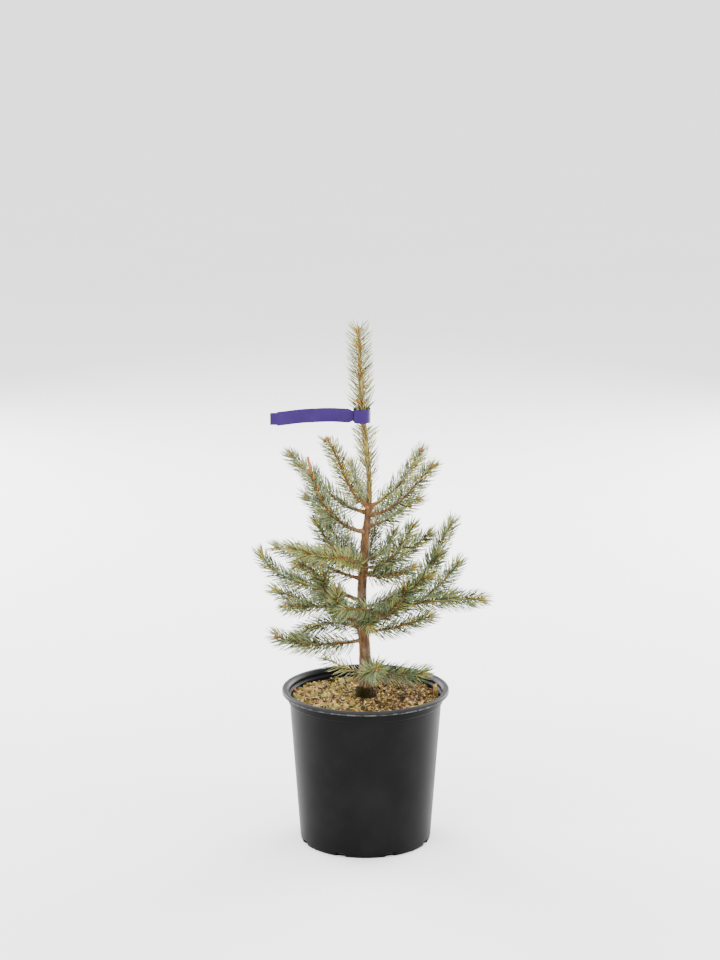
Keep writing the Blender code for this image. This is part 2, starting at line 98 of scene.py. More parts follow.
# Trunk: height, lean to the right, lean to the back, radius
TRUNK = (
    (0.202, 0.000, 0.000, 0.0088),
    (0.270, -0.001, 0.001, 0.0080),
    (0.330, -0.005, -0.001, 0.0068),
    (0.420, -0.001, -0.002, 0.0058),
    (0.490, 0.005, 0.001, 0.0038),
    (0.600, -0.004, 0.002, 0.0032),
    (0.716, -0.0095, 0.000, 0.0012),
)
FLARE = 0.004
FLARE_REACH = 0.016
ROOT_LOBES = 5
WHORLS = (0.237, 0.296, 0.311, 0.381, 0.440, 0.467)
LEADER_FOOT = 0.476
UNDER_LABEL_RISE = 0.60
LEADER_WOOD = (0.225, 0.135, 0.040)

# Limbs: what carries each, the height on the trunk or the share along that limb,
# azimuth, turn, (rise at the root, in the middle, at the tip), length
LIMBS = {
    "upper_left_front": ("trunk", 0.437, 210, 0, (10, 55, 80), 0.155),
    "upper_left_back": ("trunk", 0.464, 162, 0, (0, 40, 35), 0.135),
    "upper_left_inner": ("trunk", 0.472, 223, 0, (25, 62, 48), 0.130),
    "upper_right_front": ("trunk", 0.461, 330, 5, (5, 45, 45), 0.127),
    "upper_right_back": ("trunk", 0.472, 33, 0, (10, 40, 60), 0.112),
    "upper_right_low": ("trunk", 0.446, 8, 0, (-5, 35, 20), 0.080),
    "upper_back": ("trunk", 0.470, 106, 5, (0, 35, 45), 0.090),
    "mid_back_left": ("trunk", 0.384, 146, 0, (15, 57, 20), 0.134),
    "mid_left": ("trunk", 0.384, 202, 5, (20, 50, 62), 0.105),
    "mid_left_front": ("trunk", 0.378, 262, -78, (50, 16, 27), 0.150),
    "mid_left_far": ("trunk", 0.371, 172, 0, (10, 22, 15), 0.126),
    "mid_right_front": ("trunk", 0.388, 338, -10, (-5, 48, 61), 0.105),
    "mid_right": ("trunk", 0.379, 12, 0, (-3, 35, 33), 0.108),
    "mid_right_inner": ("trunk", 0.397, 53, 0, (-5, 16, 68), 0.080),
    "mid_right_low": ("trunk", 0.377, 318, 0, (5, 14, 35), 0.097),
    "mid_back": ("trunk", 0.383, 108, 0, (20, 20, 32), 0.075),
    "mid_back_right": ("trunk", 0.386, 76, 0, (10, 40, 45), 0.105),
    "low_right_near": ("trunk", 0.311, 337, -25, (-2, 49, 16), 0.145),
    "low_right_far": ("low_right_near", 0.30, 356, -5, (31, 8, 4), 0.131),
    "low_right_mid": ("low_right_far", 0.30, 23, 0, (25, 39, 51), 0.083),
    "low_right_high": ("low_right_near", 0.30, 29, 0, (27, 53, 60), 0.156),
    "low_front": ("low_right_near", 0.25, 238, -10, (18, 22, 0), 0.099),
    "low_right_short": ("trunk", 0.331, 350, 0, (11, 24, 23), 0.062),
    "low_left_near": ("trunk", 0.312, 211, 25, (2, 57, 3), 0.166),
    "low_left_low": ("low_left_near", 0.35, 191, -5, (-19, 26, 15), 0.086),
    "low_left_under": ("low_left_low", 0.30, 221, 0, (-4, 15, 0), 0.053),
    "low_left_centre": ("low_left_near", 0.25, 264, 5, (12, 38, 72), 0.080),
    "low_left_far": ("trunk", 0.338, 170, -5, (29, 12, 61), 0.158),
    "low_back_left": ("trunk", 0.306, 128, 0, (5, 15, 5), 0.110),
    "low_back_right": ("trunk", 0.304, 62, 0, (5, 10, 10), 0.105),
    "foot_left_long": ("trunk", 0.284, 204, -5, (-2, 6, 29), 0.131),
    "foot_left_back": ("trunk", 0.297, 168, 5, (31, -9, -37), 0.100),
    "foot_right": ("trunk", 0.296, 339, 0, (7, 19, 24), 0.103),
    "foot_front": ("trunk", 0.318, 280, 0, (14, 4, -16), 0.067),
    "foot_back": ("trunk", 0.290, 95, 0, (0, 5, 10), 0.085),
    "base_left": ("trunk", 0.238, 152, 0, (-11, 14, 11), 0.064),
    "base_front": ("trunk", 0.236, 281, 0, (17, 21, 23), 0.087),
    "base_right": ("trunk", 0.237, 340, 0, (13, 0, 26), 0.085),
}
LIMB_STEPS = 60

# Side shoots of the long lower limbs: share along the limb, turn from it, length
SIDE_SHOOTS = ((0.52, 44, 0.030),)
SIDE_SHOOT_LIMB = 0.120
TIP_RADIUS = 0.0009
TAPER = 0.013
OLD_WOOD = 0.45

# A limb whose end is bare, with the share from which it is, and sparse old wood
BARE_TIPS = {"upper_left_front": 0.84}
THIN_SHOOTS = {"base_left": 0.4, "upper_right_low": 0.8, "mid_left_far": 0.85}
LONG_NEEDLES = {"base_front": 1.25, "base_right": 1.12, "foot_left_long": 1.12, "low_right_far": 1.08}
BARE_ROOT = 0.10
YELLOWISH = ("upper_right_low", "upper_right_back", "upper_left_inner", "base_left", "mid_left_front")
DARK_LIMBS = (
    "mid_back_left", "mid_back", "mid_back_right", "foot_left_back", "low_back_left", "low_back_right",
)

# Needle tints: share in a plain, a yellowish and a dark shoot
NEEDLE_TINTS = {
    "blue": (0.37, 0.16, 0.25),
    "grey": (0.31, 0.20, 0.20),
    "yellow": (0.11, 0.47, 0.08),
    "dark": (0.18, 0.12, 0.42),
    "dry": (0.03, 0.05, 0.05),
}

# Buds on the leader: height, azimuth
LEADER_BUDS = (
    (0.692, 200), (0.690, 330), (0.656, 320), (0.650, 215), (0.636, 345), (0.616, 195),
    (0.616, 300), (0.655, 100), (0.640, 60), (0.470, 250), (0.468, 20), (0.472, 130),
)

# Wrap label on the leader
LABEL_WIDTH = 0.019
LABEL_TAB_WIDTH = 0.0165
LABEL_NECK_WIDTH = 0.0135
LABEL_THICK = 0.0005
LABEL_END = -0.1285
LABEL_TAB = 0.0095
LABEL_LIFT = 0.005
LABEL_HEIGHT = 0.597
LABEL_FRONT = -0.012
LOOP_RADIUS = 0.0125
LOOP_CENTRE = (-0.0055, -0.001)
LOOP_START = 200.0
LOOP_SWEEP = 325.0

# Cut end of the bare limb
STUB_RADIUS = 0.0018
STUB_RELIEF = 0.00025
STUB_BUDS = (-0.18, -0.14, -0.08, 0.0, 0.03)

# Moss at the trunk's foot, the mossy ball at the back, and needles fallen on the chips
MOSS_BLADES = 420
MOSS_WIDTH = 0.0008
MOSS_BALL = (-0.0475, 0.073, 0.2005)
MOSS_BALL_BLADES = 900
FALLEN_NEEDLES = 260
FALLEN_REACH = 0.094
FALLEN_WIDTH = 0.0009

# Shards standing at the pot's right wall: foot, lean, height
SHARDS = (
    ((0.0965, 0.006, 0.208), (-0.10, 0.1, 1.0), 0.020),
    ((0.0945, -0.002, 0.206), (0.5, -0.2, 1.0), 0.014),
    ((0.0985, 0.000, 0.209), (-0.25, 0.0, 1.0), 0.018),
)
SHARD_THICK = 0.0016

# Studio: lamps are a name, place, size and power
SKY_STRENGTH = 2.4
FLOOR_REACH = 40.0
LAMPS = (
    ("key", (-1.1, -1.3, 2.2), 1.6, 45),
    ("fill", (1.6, -0.6, 1.5), 1.4, 25),
    ("left_strip", (-2.0, 2.0, 1.0), 2.2, 240),
    ("right_strip", (2.0, 2.0, 1.0), 2.2, 240),
)
LAMP_AIM = (0.0, 0.0, 0.4)

# Camera of the photograph
CAMERA_PLACE = (-0.0076, -3.829, 1.386)
CAMERA_TILT = 12.9
CAMERA_LENS = 108.75


def metres(name, description, default):
    """A length among the sizes of a group."""
    return FloatProperty(name=name, description=description, default=default, subtype="DISTANCE")


def tone(name, description, default):
    """A colour among the sizes of a group."""
    return FloatVectorProperty(name=name, description=description, default=default, subtype="COLOR")


class PotSizes(bpy.types.PropertyGroup):
    """Sizes of the nursery pot"""

    height: metres("Height", "Floor to the top of the lip", POT_HIGH.z)
    lip_radius: metres("Lip radius", "Outside of the rolled lip", POT_HIGH.x)
    foot_radius: metres("Foot radius", "Outside of the foot", 0.090)
    colour: tone("Plastic", "Colour of the pot", (0.0035, 0.0035, 0.0037))


class CompostSizes(bpy.types.PropertyGroup):
    """Sizes of the compost and its bark chips"""

    level: metres("Level", "Height of the compost at the trunk", TRUNK_LOW.z)
    chips: IntProperty(name="Chips", description="Number of bark chips", default=11500, min=0)
    chip_length: metres("Chip length", "Middling length of a chip", 0.0032)
    colour: tone("Compost", "Colour between the chips", (0.026, 0.016, 0.008))


class WoodSizes(bpy.types.PropertyGroup):
    """Finish of the trunk, boughs and twigs"""

    relief: metres("Bark relief", "Depth of the bark's ridges low on the trunk", 0.0006)
    bark: tone("Bark", "Colour of the trunk's bark", (0.135, 0.066, 0.024))
    twig: tone("Twigs", "Colour of young twigs", (0.29, 0.126, 0.031))
    bud: tone("Buds", "Colour of the buds", (0.34, 0.112, 0.014))


class NeedleSizes(bpy.types.PropertyGroup):
    """Sizes and colours of the needles"""

    length: metres("Length", "Length of a middling needle", 0.0205)
    width: metres("Width", "Width of a needle", 0.00132)
    per_metre: IntProperty(name="Density", description="Needles on a metre of shoot", default=2550, min=100)
    blue: tone("Blue", "Blue-green needles", (0.118, 0.165, 0.072))
    grey: tone("Grey", "Grey-green needles", (0.210, 0.255, 0.112))
    yellow: tone("Yellow", "Yellow-green needles", (0.33, 0.320, 0.064))
    dark: tone("Dark", "Shaded needles", (0.036, 0.052, 0.018))
    dry: tone("Dry", "Dry needles", (0.22, 0.13, 0.05))


class LabelSizes(bpy.types.PropertyGroup):
    """Finish of the wrap label"""

    colour: tone("Label", "Colour of the plastic strip", (0.0265, 0.0095, 0.086))


def smooth(stations, places):
    """Cubic curve through rows of (place, values): Hermite spans with centred slopes."""
    rows = np.array(stations)
    knots, values = rows[:, 0], rows[:, 1:]
    slopes = np.gradient(values, knots, axis=0)
    places = np.atleast_1d(places)
    span = np.clip(np.searchsorted(knots, places) - 1, 0, len(knots) - 2)
    width = (knots[span + 1] - knots[span])[:, None]
    t = (places - knots[span])[:, None] / width
    return (
        (2 * t**3 - 3 * t**2 + 1) * values[span]
        + (t**3 - 2 * t**2 + t) * width * slopes[span]
        + (3 * t**2 - 2 * t**3) * values[span + 1]
        + (t**3 - t**2) * width * slopes[span + 1]
    )


def trunk_points(heights):
    heights = np.atleast_1d(np.asarray(heights, float))
    return np.column_stack([smooth(TRUNK, heights)[:, :2], heights])


def trunk_radii(heights):
    heights = np.atleast_1d(np.asarray(heights, float))
    return smooth(TRUNK, heights)[:, 2] + FLARE * np.exp(-(heights - TRUNK[0][0]) / FLARE_REACH)


def unit(vectors):
    return vectors / np.linalg.norm(vectors, axis=-1, keepdims=True)


def cross_frame(directions):
    """Two unit vectors square to each direction, making a right-handed frame with it."""
    level = np.cross(UP, directions)
    flat = np.linalg.norm(level, axis=-1, keepdims=True) < 0.02
    first = unit(np.where(flat, np.array([1.0, 0.0, 0.0]), level))
    first = unit(first - directions * (first * directions).sum(-1, keepdims=True))
    return first, np.cross(directions, first)


def turns(columns):
    """Angles of evenly spaced columns round a circle."""
    return np.arange(columns) * math.tau / columns


def rings(angles, first, second):
    """Circles of radius one, a row for each pair of unit vectors."""
    across, up = np.cos(angles)[None, :, None], np.sin(angles)[None, :, None]
    return across * first[:, None, :] + up * second[:, None, :]


def relief(u, v, cells, seed):
    """Smooth random relief from -1 to 1: a lattice of cells[0] round u (0 to 1, closed)
    and cells[1] along v (0 to 1), blended by a smooth step."""
    lattice = np.random.default_rng(seed).uniform(-1, 1, (cells[0], cells[1] + 2))
    u, v = np.broadcast_arrays(u, v)
    a, b = (u % 1.0) * cells[0], np.clip(v, 0, 1) * cells[1]
    i, j = np.floor(a).astype(int) % cells[0], np.floor(b).astype(int)
    s, t = a - np.floor(a), b - j
    s, t = s * s * (3 - 2 * s), t * t * (3 - 2 * t)
    after = (i + 1) % cells[0]
    near = lattice[i, j] * (1 - s) + lattice[after, j] * s
    far = lattice[i, j + 1] * (1 - s) + lattice[after, j + 1] * s
    return near * (1 - t) + far * t


class Heap:
    """Points, quads and triangles of many shapes that become one mesh."""

    def __init__(self):
        self.points, self.quads, self.triangles, self.count = [], [], [], 0

    def add(self, points, quads, triangles):
        self.points.append(points)
        self.quads.append(quads + self.count)
        self.triangles.append(triangles + self.count)
        self.count += len(points)

    def add_grid(self, grid):
        """Closed shape over rings of points, grid[ring, column], with a fan on each end."""
        rings, columns = grid.shape[:2]
        points = np.vstack([grid.reshape(-1, 3), grid[0].mean(0), grid[-1].mean(0)])
        ring = np.arange(rings - 1)[:, None] * columns
        here = np.arange(columns)[None, :]
        after = (here + 1) % columns
        quads = np.stack([ring + here, ring + after, ring + columns + after, ring + columns + here], -1)
        first, last = rings * columns, rings * columns + 1
        top = (rings - 1) * columns
        foot_fan = np.stack([np.full(columns, first), after[0], here[0]], -1)
        top_fan = np.stack([top + here[0], top + after[0], np.full(columns, last)], -1)
        self.add(points, quads.reshape(-1, 4), np.vstack([foot_fan, top_fan]))

    def piece(self, name, material, slot, replaced=(), flat=False):
        """The mesh as a piece that rides on the one body and stands for CAD nodes."""
        if not self.count:
            raise RuntimeError(name + " has no points")
        mesh = bpy.data.meshes.new(name)
        faces = np.vstack(self.quads).tolist() + np.vstack(self.triangles).tolist()
        mesh.from_pydata(np.vstack(self.points).tolist(), [], faces)
        mesh.polygons.foreach_set("use_smooth", np.full(len(mesh.polygons), not flat))
        mesh.materials.append(material)
        mesh.update()
        item = bpy.data.objects.new(name, mesh)
        bpy.context.scene.collection.objects.link(item)
        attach(item, "root")
        if replaced:
            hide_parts(*replaced)
        return item


class Socket:
    """A value in a material, so that sums on it read as plain arithmetic."""

    def __init__(self, finish, output):
        self.finish, self.output = finish, output

    def __add__(self, other):
        return self.finish.sum("ADD", self, other)

    def __radd__(self, other):
        return self.finish.sum("ADD", other, self)

    def __sub__(self, other):
        return self.finish.sum("SUBTRACT", self, other)

    def __rsub__(self, other):
        return self.finish.sum("SUBTRACT", other, self)

    def __mul__(self, other):
        return self.finish.sum("MULTIPLY", self, other)

    def __rmul__(self, other):
        return self.finish.sum("MULTIPLY", other, self)

    def over(self, low, high):
        """0 up to low, 1 from high, and a smooth step between them."""
        inputs = {"Value": self, "From Min": low, "From Max": high}
        return self.finish.node("ShaderNodeMapRange", {"interpolation_type": "SMOOTHSTEP"}, inputs)


class Finish:
    """A material: its nodes, and what feeds its one Principled shader."""

    def __init__(self, name, **constants):
        self.material = bpy.data.materials.new(name)
        self.material.use_nodes = True
        self.tree = self.material.node_tree
        self.shader = self.tree.nodes["Principled BSDF"]
        for title, value in constants.items():
            self.feed(title.replace("_", " "), value)

    def node(self, kind, settings=None, inputs=None, output=0):
        """A node of that type: its settings, the values or links of its sockets."""
        node = self.tree.nodes.new(kind)
        for title, value in (settings or {}).items():
            setattr(node, title, value)
        for title, value in (inputs or {}).items():
            self.join(value, node.inputs[title])
        return Socket(self, node.outputs[output])

    def join(self, value, place):
        if isinstance(value, Socket):
            self.tree.links.new(value.output, place)
        elif isinstance(value, (tuple, list)) and len(value) == 3 and place.type == "RGBA":
            place.default_value = (*value, 1.0)
        else:
            place.default_value = value

    def feed(self, title, value):
        self.join(value, self.shader.inputs[title])

    def place(self, scale=(1.0, 1.0, 1.0)):
        """Object coordinates, stretched."""
        where = self.node("ShaderNodeTexCoord", output="Object")
        return self.node("ShaderNodeMapping", inputs={"Vector": where, "Scale": scale})

    def parts(self, vector):
        """The three numbers of a vector."""
        split = self.node("ShaderNodeSeparateXYZ", inputs={"Vector": vector})
        return [Socket(self, output) for output in split.output.node.outputs]

    def sum(self, operation, *values):
        return self.node("ShaderNodeMath", {"operation": operation}, dict(enumerate(values)))

    def noise(self, where, scale, detail=3.0, roughness=0.55):
        inputs = {"Vector": where, "Scale": scale, "Detail": detail, "Roughness": roughness}
        return self.node("ShaderNodeTexNoise", inputs=inputs, output="Fac")

    def mix(self, factor, first, second):
        """Colour between two colours."""
        inputs = {0: factor, 6: first, 7: second}
        return self.node("ShaderNodeMix", {"data_type": "RGBA"}, inputs, output=2)

    def bump(self, height, strength, distance):
        inputs = {"Height": height, "Strength": strength, "Distance": distance}
        self.feed("Normal", self.node("ShaderNodeBump", inputs=inputs))


def shade(colour, factor):
    return tuple(min(value * factor, 1.0) for value in colour)


def plastic_finish(colour):
    """Black moulded plastic: a soft sheen, faint grain, specks, a painted pale highlight line along
    the lip's lower edge, and a painted lighter ring of reflection on the lip's top."""
    finish = Finish("pot_plastic", Specular_IOR_Level=0.06)
    where = finish.place()
    cloud = finish.noise(where, 18.0)
    dust = finish.noise(where, 160.0, 4.0).over(0.66, 0.80) * 0.55
    specks = finish.noise(where, 420.0, 1.0).over(0.80, 0.84) * 0.5
    base = finish.mix(cloud.over(0.35, 0.7), tuple(colour), shade(colour, 1.7))
    base = finish.mix(dust * 0.30, base, (0.035, 0.032, 0.028))
    base = finish.mix(specks, base, (0.10, 0.085, 0.07))
    across, back, height = finish.parts(where)
    around = finish.sum("SQRT", across * across + back * back)
    # Painted highlight: a pale, broken grey line along the lip's lower edge, standing in for the light it
    # catches
    lip_edge_highlight = around.over(LIP_HIGHLIGHT_RADIUS - 0.0008, LIP_HIGHLIGHT_RADIUS) * height.over(0.2100, 0.2106)
    lip_edge_highlight = lip_edge_highlight * (1 - height.over(0.2118, 0.2128))
    patchy = finish.noise(finish.place((1.0, 1.0, 3.0)), 110.0, 4.0, 0.7).over(0.44, 0.60)
    # Painted reflection: the flat top of the lip is made a lighter grey, standing in for the bright sky it
    # reflects
    top = around.over(0.1078, 0.1092) * height.over(0.2118, 0.2150)
    base = finish.mix(top * (cloud * 0.6 + 0.4), base, (0.032, 0.032, 0.033))
    finish.feed("Base Color", finish.mix(lip_edge_highlight * (patchy * 0.50 + 0.12), base, (0.13, 0.13, 0.13)))
    finish.feed("Roughness", cloud * 0.14 + 0.33)
    finish.bump(finish.noise(where, 900.0, 2.0), 0.25, 0.0002)
    return finish.material


def bark_finish(name, colour, grain=1.0, young=None):
    """Bark: long streaks of a lighter and a darker tone, cracks and fine scales. Where
    young is given, the wood above the top whorl is of that colour."""
    finish = Finish(name, Specular_IOR_Level=0.3)
    along = finish.place((1.0, 1.0, 0.22))
    streaks = finish.noise(along, 260.0 * grain, 4.0, 0.65)
    patches = finish.noise(finish.place(), 45.0 * grain, 3.0)
    scales = finish.noise(finish.place((1.0, 1.0, 0.6)), 650.0 * grain, 3.0, 0.7)
    base = finish.mix(streaks.over(0.38, 0.66), shade(colour, 0.50), shade(colour, 1.35))
    base = finish.mix(patches.over(0.52, 0.75) * 0.30, base, shade((0.42, 0.36, 0.30), 0.8))
    if young:
        _, _, height = finish.parts(finish.place())
        fresh = finish.mix(streaks.over(0.38, 0.66), shade(young, 0.60), shade(young, 1.3))
        base = finish.mix((height + patches * 0.05).over(0.49, 0.54), base, fresh)
    finish.feed("Base Color", finish.mix(scales.over(0.30, 0.45), shade(colour, 0.28), base))
    finish.feed("Roughness", streaks * 0.2 + 0.68)
    finish.bump(streaks * 0.6 + scales * 0.4, 0.7, 0.0006)
    return finish.material


def needle_finish(name, colour, gloss=0.42):
    """Waxy needle: its plain colour, a little lighter and darker from place to place."""
    finish = Finish(name, Roughness=0.46, Specular_IOR_Level=gloss)
    cloud = finish.noise(finish.place(), 70.0, 2.0)
    finish.feed("Base Color", finish.mix(cloud.over(0.25, 0.75), shade(colour, 0.78), shade(colour, 1.25)))
    return finish.material


def chip_finish(name, colour):
    """Bark chip: streaks, dark pores and a dry surface."""
    finish = Finish(name, Specular_IOR_Level=0.25)
    where = finish.place()
    streaks = finish.noise(where, 520.0, 4.0, 0.7)
    patches = finish.noise(where, 130.0, 2.0)
    base = finish.mix(patches.over(0.3, 0.7), shade(colour, 0.65), shade(colour, 1.3))
    finish.feed("Base Color", finish.mix(streaks.over(0.35, 0.6), shade(colour, 0.45), base))
    finish.feed("Roughness", streaks * 0.15 + 0.78)
    finish.bump(streaks, 0.6, 0.0006)
    return finish.material


def bud_finish(colour):
    """Bud: overlapping papery scales, darker between them."""
    finish = Finish("bud_scales", Roughness=0.55)
    scales = finish.noise(finish.place(), 620.0, 2.0)
    finish.feed("Base Color", finish.mix(scales.over(0.36, 0.58), shade(colour, 0.45), shade(colour, 1.2)))
    finish.bump(scales, 0.5, 0.0004)
    return finish.material


def label_finish(colour):
    """Thin violet plastic: satin, with faint clouds and a light handling grain."""
    finish = Finish("label_plastic", Specular_IOR_Level=0.15)
    cloud = finish.noise(finish.place(), 55.0, 3.0)
    finish.feed("Base Color", finish.mix(cloud.over(0.3, 0.7), shade(colour, 0.90), shade(colour, 1.14)))
    finish.feed("Roughness", cloud * 0.2 + 0.32)
    finish.bump(finish.noise(finish.place(), 380.0, 2.0), 0.12, 0.0003)
    return finish.material


def stage_finish():
    """Pale floor, the same all over but for a breath of cloud."""
    finish = Finish("stage_paper", Roughness=0.9, Specular_IOR_Level=0.1)
    cloud = finish.noise(finish.place(), 1.5, 2.0)
    finish.feed("Base Color", finish.mix(cloud, (0.89, 0.89, 0.89), (0.92, 0.92, 0.92)))
    return finish.material


def rounded(corners, steps=5):
    """Outline through (radius, height, fillet): each corner is a quadratic curve that
    starts and ends one fillet away from it."""
    points = np.array([corner[:2] for corner in corners])
    outline = [points[0]]
    for before, corner, after, (_, _, fillet) in zip(points, points[1:], points[2:], corners[1:-1]):
        if fillet == 0:
            outline.append(corner)
            continue
        back = min(fillet, 0.45 * math.dist(before, corner))
        ahead = min(fillet, 0.45 * math.dist(corner, after))
        start = corner + unit(before - corner) * back
        end = corner + unit(after - corner) * ahead
        for t in np.linspace(0, 1, steps):
            outline.append((1 - t) ** 2 * start + 2 * t * (1 - t) * corner + t**2 * end)
    outline.append(points[-1])
    return np.array(outline)


def turned(outline, columns):
    """Grid of an outline (radius, height) carried round the Z axis."""
    angles = turns(columns)
    radius, height = outline[:, 0][:, None], outline[:, 1][:, None]
    level = np.broadcast_to(height, (len(outline), columns))
    return np.stack([radius * np.cos(angles), radius * np.sin(angles), level], -1)


def soil_level(sizes, x, y):
    """Height of the compost: level at the trunk and rising gently to the front."""
    away = np.maximum(np.hypot(x, y) - TRUNK_SEAT, 0)
    return sizes.level - MILLIMETRE * 0.3 - SOIL_RISE * away * y / np.maximum(np.hypot(x, y), 1e-6)


def inner_radius(height):
    """Inner radius of the pot below its ledge."""
    foot = bpy.context.scene.spruce_pot.foot_radius - WALL
    return foot + (SHOULDER_RADIUS - WALL - foot) * (height - FLOOR) / (LEDGE - FLOOR)


def outer_radius(foot, height):
    """Outer radius of the pot's wall below its shoulder."""
    return foot + (SHOULDER_RADIUS - foot) * height / SHOULDER_HEIGHT


def rise_at(rises, t):
    """Parabola through the rises at the root, in the middle and at the tip, in degrees."""
    root, middle, tip = rises
    return root * (1 - t) * (1 - 2 * t) + 4 * middle * t * (1 - t) + tip * t * (2 * t - 1)


def all_limbs():
    """The named limbs and the side shoots of the long ones below the top whorl."""
    limbs = dict(LIMBS)
    for name, (_, _, azimuth, turn, rises, length) in LIMBS.items():
        if length < SIDE_SHOOT_LIMB or name.startswith("upper"):
            continue
        for number, (share, aside, reach) in enumerate(SIDE_SHOOTS):
            rise = rise_at(rises, share)
            side = aside if len(name) % 2 else -aside
            rule = (name, share, azimuth + turn * share + side, 0, (rise, rise, rise + 8), reach)
            limbs[name + "_side_" + str(number)] = rule
    return limbs


def limb_paths():
    """Path of each limb: its azimuth turns evenly and its rise is a parabola."""
    paths = {}
    t = (np.arange(LIMB_STEPS) + 0.5) / LIMB_STEPS
    for name, (carrier, place, azimuth, turn, rises, length) in all_limbs().items():
        start = trunk_points(place)[0] if carrier == "trunk" else at(paths[carrier], place)[0]
        heading = np.radians(azimuth + turn * t)
        rise = np.radians(rise_at(rises, t))
        steps = np.stack([np.cos(heading) * np.cos(rise), np.sin(heading) * np.cos(rise), np.sin(rise)], 1)
        paths[name] = np.vstack([start, start + np.cumsum(steps, 0) * length / LIMB_STEPS])
    return paths


def at(path, shares):
    """Points of a path at shares of its length."""
    places = np.linspace(0, 1, len(path))
    return np.stack([np.interp(np.atleast_1d(shares), places, path[:, axis]) for axis in range(3)], -1)


def headings(path, shares):
    """Directions of a path at shares of its length."""
    shares = np.atleast_1d(shares)
    return unit(at(path, np.minimum(shares + 0.02, 1.0)) - at(path, np.maximum(shares - 0.02, 0.0)))


def limb_radii(length, shares):
    return TIP_RADIUS + TAPER * length * (1 - shares)


def leader_radii(length, shares):
    return trunk_radii(LEADER_FOOT + shares * length)


def add_limb(heap, path, length, start, end, seed):
    """Tapering tube: radius times one plus a lattice relief, a collar at its root."""
    shares = np.linspace(start, end, max(int((end - start) * length / 0.0016), 8))
    centres, directions = at(path, shares), headings(path, shares)
    first, second = cross_frame(directions)
    columns = 12
    angles = turns(columns)
    cells = (6, max(int(length / 0.003), 4))
    bumps = relief(np.arange(columns)[None, :] / columns, shares[:, None], cells, seed)
    collar = 1 + 0.35 * np.exp(-np.maximum(shares * length - 0.006, 0) / 0.004)
    radius = (limb_radii(length, shares) * collar)[:, None] * (1 + 0.13 * bumps)
    ring = rings(angles, first, second)
    heap.add_grid(centres[:, None, :] + radius[:, :, None] * ring)


def add_needles(heap, roots, directions, bends, lengths, widths):
    """Three-sided needles: the middle line is root + direction*l*t + bend*l*t*t, the
    width grows from the root, holds, and narrows to a point."""
    count = len(roots)
    first, second = cross_frame(directions)
    places = np.array([0.0, 0.30, 0.75])
    swell = np.array([0.75, 1.0, 0.80])
    reach = lengths[:, None, None] * places[None, :, None]
    middle = roots[:, None, :] + directions[:, None, :] * reach
    middle = middle + bends[:, None, :] * reach * places[None, :, None]
    angles = turns(3)
    ring = rings(angles, first, second)
    half = (widths[:, None] * swell[None, :] / 2)[:, :, None, None]
    rims = middle[:, :, None, :] + half * ring[:, None, :, :]
    tips = roots + (directions + bends) * lengths[:, None]
    points = np.concatenate([rims.reshape(count, 9, 3), tips[:, None, :]], 1)
    base = np.arange(count)[:, None, None] * 10
    steps = [(low, here, (here + 1) % 3) for low in (0, 3) for here in range(3)]
    sides = [[low + here, low + after, low + 3 + after, low + 3 + here] for low, here, after in steps]
    ends = [[6, 7, 9], [7, 8, 9], [8, 6, 9], [2, 1, 0]]
    quads, triangles = base + np.array(sides), base + np.array(ends)
    heap.add(points.reshape(-1, 3), quads.reshape(-1, 4), triangles.reshape(-1, 3))


def needle_clear(points, level):
    """Whether points keep off the compost, the pot's wall, the label and the trunk."""
    height = points[..., 2]
    away = np.hypot(points[..., 0], points[..., 1])
    clear = height > level + 0.001
    clear &= ~((height < POT_HIGH.z + 0.001) & (away > LIP_INNER_RADIUS - 0.005))
    lean = trunk_points(height.ravel()).reshape(points.shape)
    off_trunk = np.linalg.norm(points[..., :2] - lean[..., :2], axis=-1)
    clear &= off_trunk > trunk_radii(height.ravel()).reshape(height.shape)
    in_label = np.abs(height - LABEL_HEIGHT) < LABEL_WIDTH / 2 + 0.002
    off_loop = np.linalg.norm(points[..., :2] - np.array(LOOP_CENTRE), axis=-1)
    clear &= ~(in_label & (off_loop > LOOP_RADIUS - 0.0015))
    return clear


def grow(path, length, sizes, rng, start, end, radius_of, thick=1.0, leans=(66, 50, 28)):
    """Roots, directions, bends and lengths of one shoot's needles along their spiral.
    They lean from the shoot by leans in degrees: at its root, near its tip, at its tip."""
    count = int((end - start) * length * sizes.per_metre * thick)
    order = np.arange(count)
    shares = start + (end - start) * (order + rng.uniform(-0.4, 0.4, count)) / max(count, 1)
    old = np.clip((BARE_ROOT + 0.15 - shares) / 0.15, 0, 1)
    keep = rng.uniform(0, 1, count) > 0.55 * old
    shares, order = np.clip(shares[keep], 0, 1), order[keep]
    count = len(shares)
    centres, forward = at(path, shares), headings(path, shares)
    first, second = cross_frame(forward)
    around = order * GOLDEN_ANGLE + rng.normal(0, 0.15, count)
    outward = np.cos(around)[:, None] * first + np.sin(around)[:, None] * second
    near_tip = np.clip((shares - 1.0) * length / 0.012 + 1, 0, 1)
    lean = leans[0] + (leans[1] - leans[0]) * shares + (leans[2] - leans[1]) * near_tip
    lean = np.radians(lean + rng.normal(0, 4.5, count))
    directions = np.cos(lean)[:, None] * forward + np.sin(lean)[:, None] * outward
    bends = 0.22 * forward - 0.12 * outward + UP * rng.normal(-0.02, 0.05, count)[:, None]
    lengths = sizes.length * (0.86 + 0.20 * np.sin(math.pi * np.clip(shares, 0, 0.9)) - 0.16 * near_tip)
    lengths = lengths * rng.normal(1.0, 0.06, count).clip(0.8, 1.15)
    roots = centres + outward * (radius_of(shares) * 0.7)[:, None]
    return roots, directions, bends, lengths, shares


